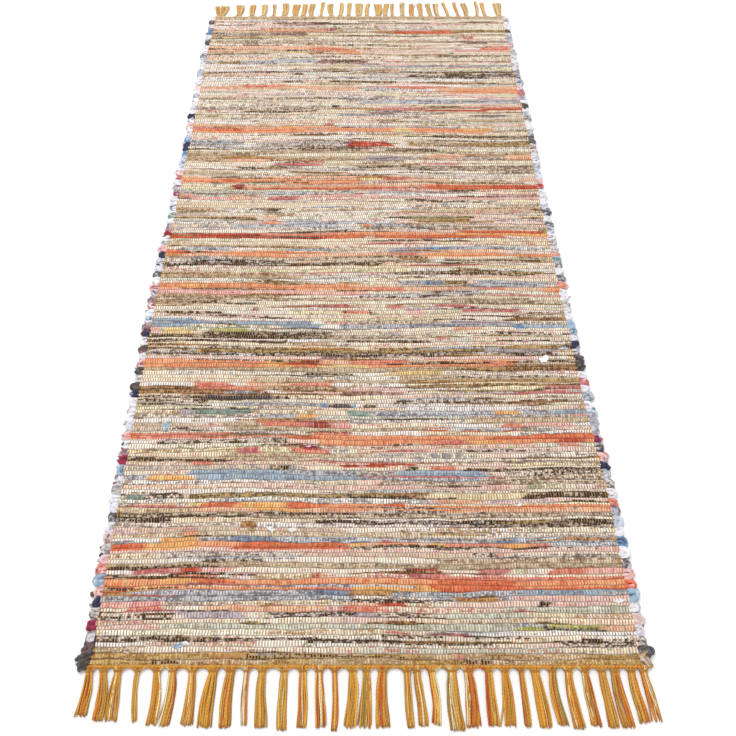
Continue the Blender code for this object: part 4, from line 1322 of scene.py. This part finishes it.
FAR_TASSELS = [Tassel(*tassel) for tassel in (
    (-320, 1, 32, 51), (-278, 0, 18, 56), (-246, 0, 13, 56), (-220, 1, 12, 58), (-196, 0.5, 5, 59),
    (-171, 2.5, 15, 63), (-145, 3, 16, 58), (-127, 4, 11, 60), (-107, 2.5, 12, 61), (-85, 6, 7, 68),
    (-60, -1.5, 13, 61), (-40, 4, 8, 65), (-20, 3.5, 8, 65), (3, 1.5, 17, 63), (23, 3.5, 9, 62),
    (49, 0, 17, 60), (66, 4, 11, 61), (82, 1.5, 7, 61), (106, 2.5, 9, 65), (129, 1.5, 11, 61),
    (149, 0, 10, 63), (172, -3.5, 12, 62), (188, 0.5, 9, 62), (213, -7, 7, 66), (237, -5, 6, 68),
    (256, -2.5, 14, 63), (281, 2, 6, 71), (300, -2.5, 7, 67), (333, 0, 18, 64),
)]
# How many yarns are in a thin, a usual, a wide and a double tassel, and the widest tip of the first three
YARNS_IN = ((7.5, 10), (14.5, 16), (25.0, 21), (99.0, 34))
USUAL_YARNS = 16
YARN_RINGS, YARN_SIDES, YARN_HALF = 15, 6, 1.0  # half of a slack yarn's thickness in mm
# Where a yarn's rings are from the cloth to its tip, and how thick it is there beside a slack yarn
THICK_RINGS = (0, 2, 3, 4, 6, YARN_RINGS - 2, YARN_RINGS - 1)
THICK_SHARES = (0.62, 0.62, 0.68, 0.8, 1.0, 1.02, 0.85)
# From the cloth to the knot's middle: mm away from the cloth, how spread out the yarns are, and their height
KNOT_OUT = 6.6
GATHER = ((-0.6, 1.0, 2.9), (2.2, 0.92, 3.9), (4.3, 0.45, 3.4), (KNOT_OUT, 0.0, 2.9))
KNOT_PAST, KNOT_HEIGHT = 1.8, 2.7  # mm from there to the end of the knot, and a yarn's height there
LAYER = 1.0  # mm between the lower yarns and the upper ones in a knot
UPPER_REST, REST_DROP, REST_UNEVEN = 1.25, 0.55, 0.25  # mm that upper yarns lie higher, sink, and differ
SINK_RATE = 2.6  # how soon past the knot the yarns lie on the floor
MOST_GATHER = 13.0  # mm to either side of a knot that its yarns come from, at most
KNOT_HALF, KNOT_WRAP = 4.6, 0.70  # mm, half of a usual tassel's width at its root, and of the yarn round it
KNOT_TURNS, KNOT_RINGS, KNOT_LONG = 2.3, 26, 2.4
WRAP_HEIGHT, WRAP_TALL, WRAP_SWAY = 2.9, 1.9, 0.5  # mm, of the wrap's middle, half its height, and its slant
FLARE = 0.8  # mm that slack yarns stand out past each side of a tassel
LOOSE_YARNS, LOOSE_MOST = 0.28, 4.0  # the share of yarns that stray, and how many mm at the tip
SHUFFLE = 0.16  # how far yarns change places from the knot to the tip
RIPPLE, RIPPLE_TURN = (0.1, 0.6), 7  # mm that a yarn ripples, and the radians of its ripple
MOST_BEND, MOST_RAGGED = 2.4, 3.5  # mm that a tassel bows to a side, and that a yarn is short of its tip
CORD_ENDS = {"near": (-347.5, 350.0), "far": (-337.0, 345.0)}  # mm
CORD_PITCH, CORD_RINGS_EACH, CORD_HALF = 9.0, 9, 1.2  # mm of a full twist, rings in it, half a cord yarn
CORD_OUT, CORD_HEIGHT, CORD_TWIST = 1.5, 2.9, 0.9  # mm from the cloth, above the floor, and of the twist
TWIST_PITCH = 4.2  # mm, of the yarn's ply

Strands = namedtuple("Strands", "paths across tall upright dyes")


def yarns_in(tassel):
    """How many yarns a tassel has."""
    return next(number for widest, number in YARNS_IN if tassel.spread < widest)


def knot_half(tassel):
    """Half of a tassel's width at its knot, in millimetres."""
    return KNOT_HALF * (yarns_in(tassel) / USUAL_YARNS) ** 0.7


def tassel_paths(tassel, room, outward, draw):
    """The middle line of each yarn of a tassel, in mm, from the cloth's end through the knot to the tip."""
    count = yarns_in(tassel)
    lay = (np.arange(count) + 0.5) / count * 2 - 1
    squeeze = knot_half(tassel) - YARN_HALF
    bend = draw.uniform(-MOST_BEND, MOST_BEND)
    paths = []
    for k in range(count):
        upper = k % 2
        start, end = lay[k], np.clip(lay[k] + draw.uniform(-SHUFFLE, SHUFFLE), -1, 1)
        knot_z = KNOT_HEIGHT + LAYER * (upper - 0.5)
        rooted = room[0] if start < 0 else room[1]
        points = []
        for away, opened, z in GATHER:
            half = squeeze + (rooted - squeeze) * opened
            points.append((tassel.across + half * start, away, z + LAYER / 2 * upper))
        points.append((tassel.across + squeeze * start, KNOT_OUT + KNOT_PAST, knot_z + 0.2))
        length = tassel.length - draw.uniform(0, MOST_RAGGED)
        ripple, phase = draw.uniform(*RIPPLE), draw.uniform(0, math.tau)
        loose = draw.uniform(-LOOSE_MOST, LOOSE_MOST) * (draw.uniform() < LOOSE_YARNS)
        for share in np.linspace(0.1, 1, YARN_RINGS - len(points)):
            spread = 0.45 * share + 0.55 * smooth(share)
            opening = 1 - (1 - share) ** 2.4
            half = squeeze * (1 - opening) + (tassel.spread / 2 + FLARE - YARN_HALF) * opening
            across = tassel.lean * spread + half * end
            rippled = ripple * math.sin(phase + RIPPLE_TURN * share) * min(1, 3 * share)
            across += rippled + loose * share * share
            across += bend * math.sin(math.pi * share)
            rest = YARN_HALF + 0.05 + upper * (UPPER_REST - REST_DROP * share)
            rest += REST_UNEVEN * draw.uniform(0, 1)
            sink = min(1, share * SINK_RATE)
            away = KNOT_OUT + KNOT_PAST + (length - KNOT_OUT - KNOT_PAST) * share
            points.append((tassel.across + across, away, (knot_z + 0.1) * (1 - sink) + rest * sink))
        paths.append(points)
    paths = np.array(paths)
    paths[..., 1] = outward * (CLOTH_LENGTH / 2 / MM + paths[..., 1])
    return paths


def knot_path(tassel, outward):
    """The yarn that wraps a tassel's root, in millimetres."""
    turn = np.linspace(0, math.tau * KNOT_TURNS, KNOT_RINGS)
    across = tassel.across + knot_half(tassel) * np.sin(turn)
    start = CLOTH_LENGTH / 2 / MM + KNOT_OUT - KNOT_LONG / 2
    along = start + KNOT_LONG * np.linspace(0, 1, KNOT_RINGS) + WRAP_SWAY * np.cos(turn * 0.5)
    return np.stack([across, outward * along, WRAP_HEIGHT - WRAP_TALL * np.cos(turn)], axis=-1)


def cord_paths(outward, ends):
    """Two yarns twined into the cord that the tassels are knotted against, in millimetres."""
    x = np.linspace(*ends, int((ends[1] - ends[0]) / CORD_PITCH * CORD_RINGS_EACH))
    made = []
    for start in (0, math.pi):
        turn = math.tau * x / CORD_PITCH + start
        y = outward * (CLOTH_LENGTH / 2 / MM + CORD_OUT + CORD_TWIST * np.cos(turn))
        made.append(np.stack([x, y, CORD_HEIGHT + CORD_TWIST * np.sin(turn)], axis=-1))
    return np.array(made)


def clustered_dyes(count, draw):
    """Numbers of the dyes of one tassel's yarns. Ends of one colour lie side by side."""
    cluster = np.cumsum(draw.uniform(size=count) < 0.5)
    return draw.choice(len(YARN_SHARES), cluster[-1] + 1, p=YARN_SHARES)[cluster]


def paler(dyes, share):
    """Dyes of yarn that are bleached by a share."""
    return dyes * (1 - share) + linear(PALE_YARN) * share


def yarn_mesh(name, groups):
    """One mesh of yarn. Each point keeps its dye, how far along the yarn it is, and how far round."""
    shapes, dyes, facts = [], [], []
    turn = np.arange(YARN_SIDES) / YARN_SIDES
    for group in groups:
        paths = group.paths * MM
        shapes.append(tubes(paths, group.across * MM, group.tall * MM, YARN_SIDES, group.upright))
        count, rings = paths.shape[:2]
        steps = np.linalg.norm(np.diff(paths, axis=1), axis=2).cumsum(axis=1)
        along = np.concatenate([np.zeros((count, 1)), steps], axis=1)[..., None]
        dye = np.broadcast_to(group.dyes[:, :, None], (count, rings, YARN_SIDES, 3))
        dyes.append(dye.reshape(-1, 3))
        facts.append(np.stack(np.broadcast_arrays(along, turn, 0.0), axis=-1).reshape(-1, 3))
    mesh, corners = mesh_of(name, *joined(shapes))
    colour_corners(mesh, np.concatenate(dyes)[corners])
    mark_points(mesh, "yarn", np.concatenate(facts))
    return mesh


# Slack cotton yarn seen close: its ply with painted shade in its grooves, painted shade on each yarn's sides
# where it meets the next, and bleached fuzz
PLY_SHADE, BETWEEN_SHADE, FUZZ = (120, 66, 28), (112, 58, 18), (250, 228, 184)
yarn_finish, make, sockets, dye, place = cotton("warp yarn", sheen=0.15)
facts = make.node("Attribute", {"attribute_name": "yarn"}).outputs["Vector"]
yarn = make.node("SeparateXYZ", Vector=facts).outputs
plies = make.math("DIVIDE", yarn["X"], TWIST_PITCH * MM)
twist = make.math("SINE", make.times(make.math("ADD", plies, make.times(yarn["Y"], 2.0)), math.tau))
fuzz = make.node("TexNoise", Vector=place, Scale=1500.0, Detail=3.0, Roughness=0.65).outputs[0]
# Painted shade in the ply's grooves and on each yarn's sides
groove_shaded = make.mix(make.ramp(twist, -1.0, 0.2, 0.30, 0.0), dye, paint(*PLY_SHADE))
sideways = make.math("ABSOLUTE", make.math("COSINE", make.times(yarn["Y"], math.tau)))
between = make.mix(make.ramp(sideways, 0.5, 1.0, 0.0, 0.62), groove_shaded, paint(*BETWEEN_SHADE))
bleached = make.mix(make.ramp(fuzz, 0.50, 0.74, 0.0, 0.26), between, paint(*FUZZ))
make.put(sockets["Base Color"], bleached)
make.put(sockets["Roughness"], make.ramp(fuzz, 0.3, 0.7, 0.78, 0.95))
bump = make.node("Bump", Height=make.math("ADD", twist, make.times(fuzz, 0.8)), Strength=0.7, Distance=0.0002)
make.put(sockets["Normal"], bump.outputs["Normal"])

YARN_SHARES = (0.22, 0.18, 0.15, 0.10, 0.09, 0.12, 0.06, 0.08)
YARN_LEVELS, WRAP_LEVELS = (0.72, 1.10), (0.88, 1.0)  # how dark or light a yarn is beside its dye
UNDER_SHADE = (0.86, 0.72, 0.55)  # red, green and blue that reach the yarns under others
NEAR_DYES = ((224, 156, 44), (230, 170, 60), (218, 124, 36), (206, 142, 42), (250, 234, 188), (186, 158, 78),
             (208, 92, 28), (238, 190, 98))
FAR_PALE, FAR_FADED = (248, 226, 172), 0.46  # what the far fringe has faded towards, and how far
FAR_DYES = [
    [(1 - FAR_FADED) * part + FAR_FADED * pale for part, pale in zip(dye, FAR_PALE)] for dye in NEAR_DYES]
PALE_YARN = (228, 206, 174)
GATHER_PALE = {"near": 0.0, "far": 0.72}  # how far the cord, the knots and the yarns up to them are bleached
for end_name, outward, tassels, dyes in (
    ("near", -1, NEAR_TASSELS, NEAR_DYES), ("far", 1, FAR_TASSELS, FAR_DYES),
):
    draw = np.random.default_rng(41 + outward)
    hanging, knots, shades = [], [], []
    places = [tassel.across for tassel in tassels]
    first, last = CORD_ENDS[end_name]
    halfway = [first, *((a + b) / 2 for a, b in zip(places, places[1:])), last]
    for number, tassel in enumerate(tassels):
        room = [min(MOST_GATHER, abs(tassel.across - halfway[number + k])) for k in (0, 1)]
        hanging.append(tassel_paths(tassel, room, outward, draw))
        knots.append(knot_path(tassel, outward))
        shades.append(clustered_dyes(len(hanging[-1]), draw))
    hanging, knots = np.concatenate(hanging), np.array(knots)
    palette = np.array([linear(dye) for dye in dyes])
    pale = GATHER_PALE[end_name]
    hanging_dyes = palette[np.concatenate(shades)] * draw.uniform(*YARN_LEVELS, (len(hanging), 1))
    under = np.concatenate([np.arange(len(shade)) % 2 == 0 for shade in shades])
    hanging_dyes[under] *= UNDER_SHADE
    to_knot = np.interp(np.arange(YARN_RINGS), (0, 3, 5), (1, 1, 0))[:, None]
    knot_dyes = paler(palette[draw.choice(2, len(knots))], pale)
    knot_dyes = knot_dyes * draw.uniform(*WRAP_LEVELS, (len(knots), 1))
    thick = YARN_HALF * np.interp(np.arange(YARN_RINGS), THICK_RINGS, THICK_SHARES)
    groups = [
        Strands(hanging, thick, thick * 0.92, (0, 0, 1), paler(hanging_dyes[:, None], to_knot * pale)),
        Strands(knots, KNOT_WRAP, KNOT_WRAP, (0, 1, 0), knot_dyes[:, None]),
        Strands(cord_paths(outward, CORD_ENDS[end_name]), CORD_HALF, CORD_HALF, (0, 0, 1),
                paler(palette[[0, 1]], pale)[:, None]),
    ]
    piece = add_piece(f"fringe_{end_name}_yarns", yarn_mesh(f"fringe_{end_name}_yarns", groups), yarn_finish)
    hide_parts(f"fringe_{end_name}")

# ---------------------------------------------------------------------------------------------------------
# A plain pale floor, soft even light from all round, and a camera that stands at the near end and looks down.

FLOOR_HALF = 4.0
floor_corners = [(x * FLOOR_HALF, y * FLOOR_HALF, 0) for x, y in ((-1, -1), (1, -1), (1, 1), (-1, 1))]
floor_mesh = bpy.data.meshes.new("floor")
floor_mesh.from_pydata(floor_corners, [], [(0, 1, 2, 3)])
floor = bpy.data.objects.new("floor", floor_mesh)
bpy.context.scene.collection.objects.link(floor)
floor_finish = bpy.data.materials.new("pale floor")
floor_finish.use_nodes = True
floor_shader = floor_finish.node_tree.nodes["Principled BSDF"]
floor_shader.inputs["Base Color"].default_value = (0.97, 0.97, 0.965, 1)
floor_shader.inputs["Roughness"].default_value = 0.9
floor_mesh.materials.append(floor_finish)

world = bpy.data.worlds.new("studio")
world.use_nodes = True
world.node_tree.nodes["Background"].inputs["Color"].default_value = (1.0, 0.995, 0.985, 1)
world.node_tree.nodes["Background"].inputs["Strength"].default_value = 0.86
bpy.context.scene.world = world
bpy.context.scene.view_settings.view_transform = "Standard"

lamp = bpy.data.lights.new("softbox", "AREA")
lamp.shape, lamp.size, lamp.size_y, lamp.energy = "RECTANGLE", 1.4, 1.4, 50
softbox = bpy.data.objects.new("softbox", lamp)
softbox.location, softbox.rotation_euler = (-1.0, 1.1, 3.0), (math.radians(-20), math.radians(-18), 0)
bpy.context.scene.collection.objects.link(softbox)

lens = bpy.data.cameras.new("camera")
lens.lens, lens.sensor_width, lens.shift_x = 33.07, 36.0, 0.0287
camera = bpy.data.objects.new("camera", lens)
camera.location, camera.rotation_euler = (-0.0239, -0.8339, 0.9035), (math.radians(32.196), 0, 0)
bpy.context.scene.collection.objects.link(camera)
bpy.context.scene.camera = camera
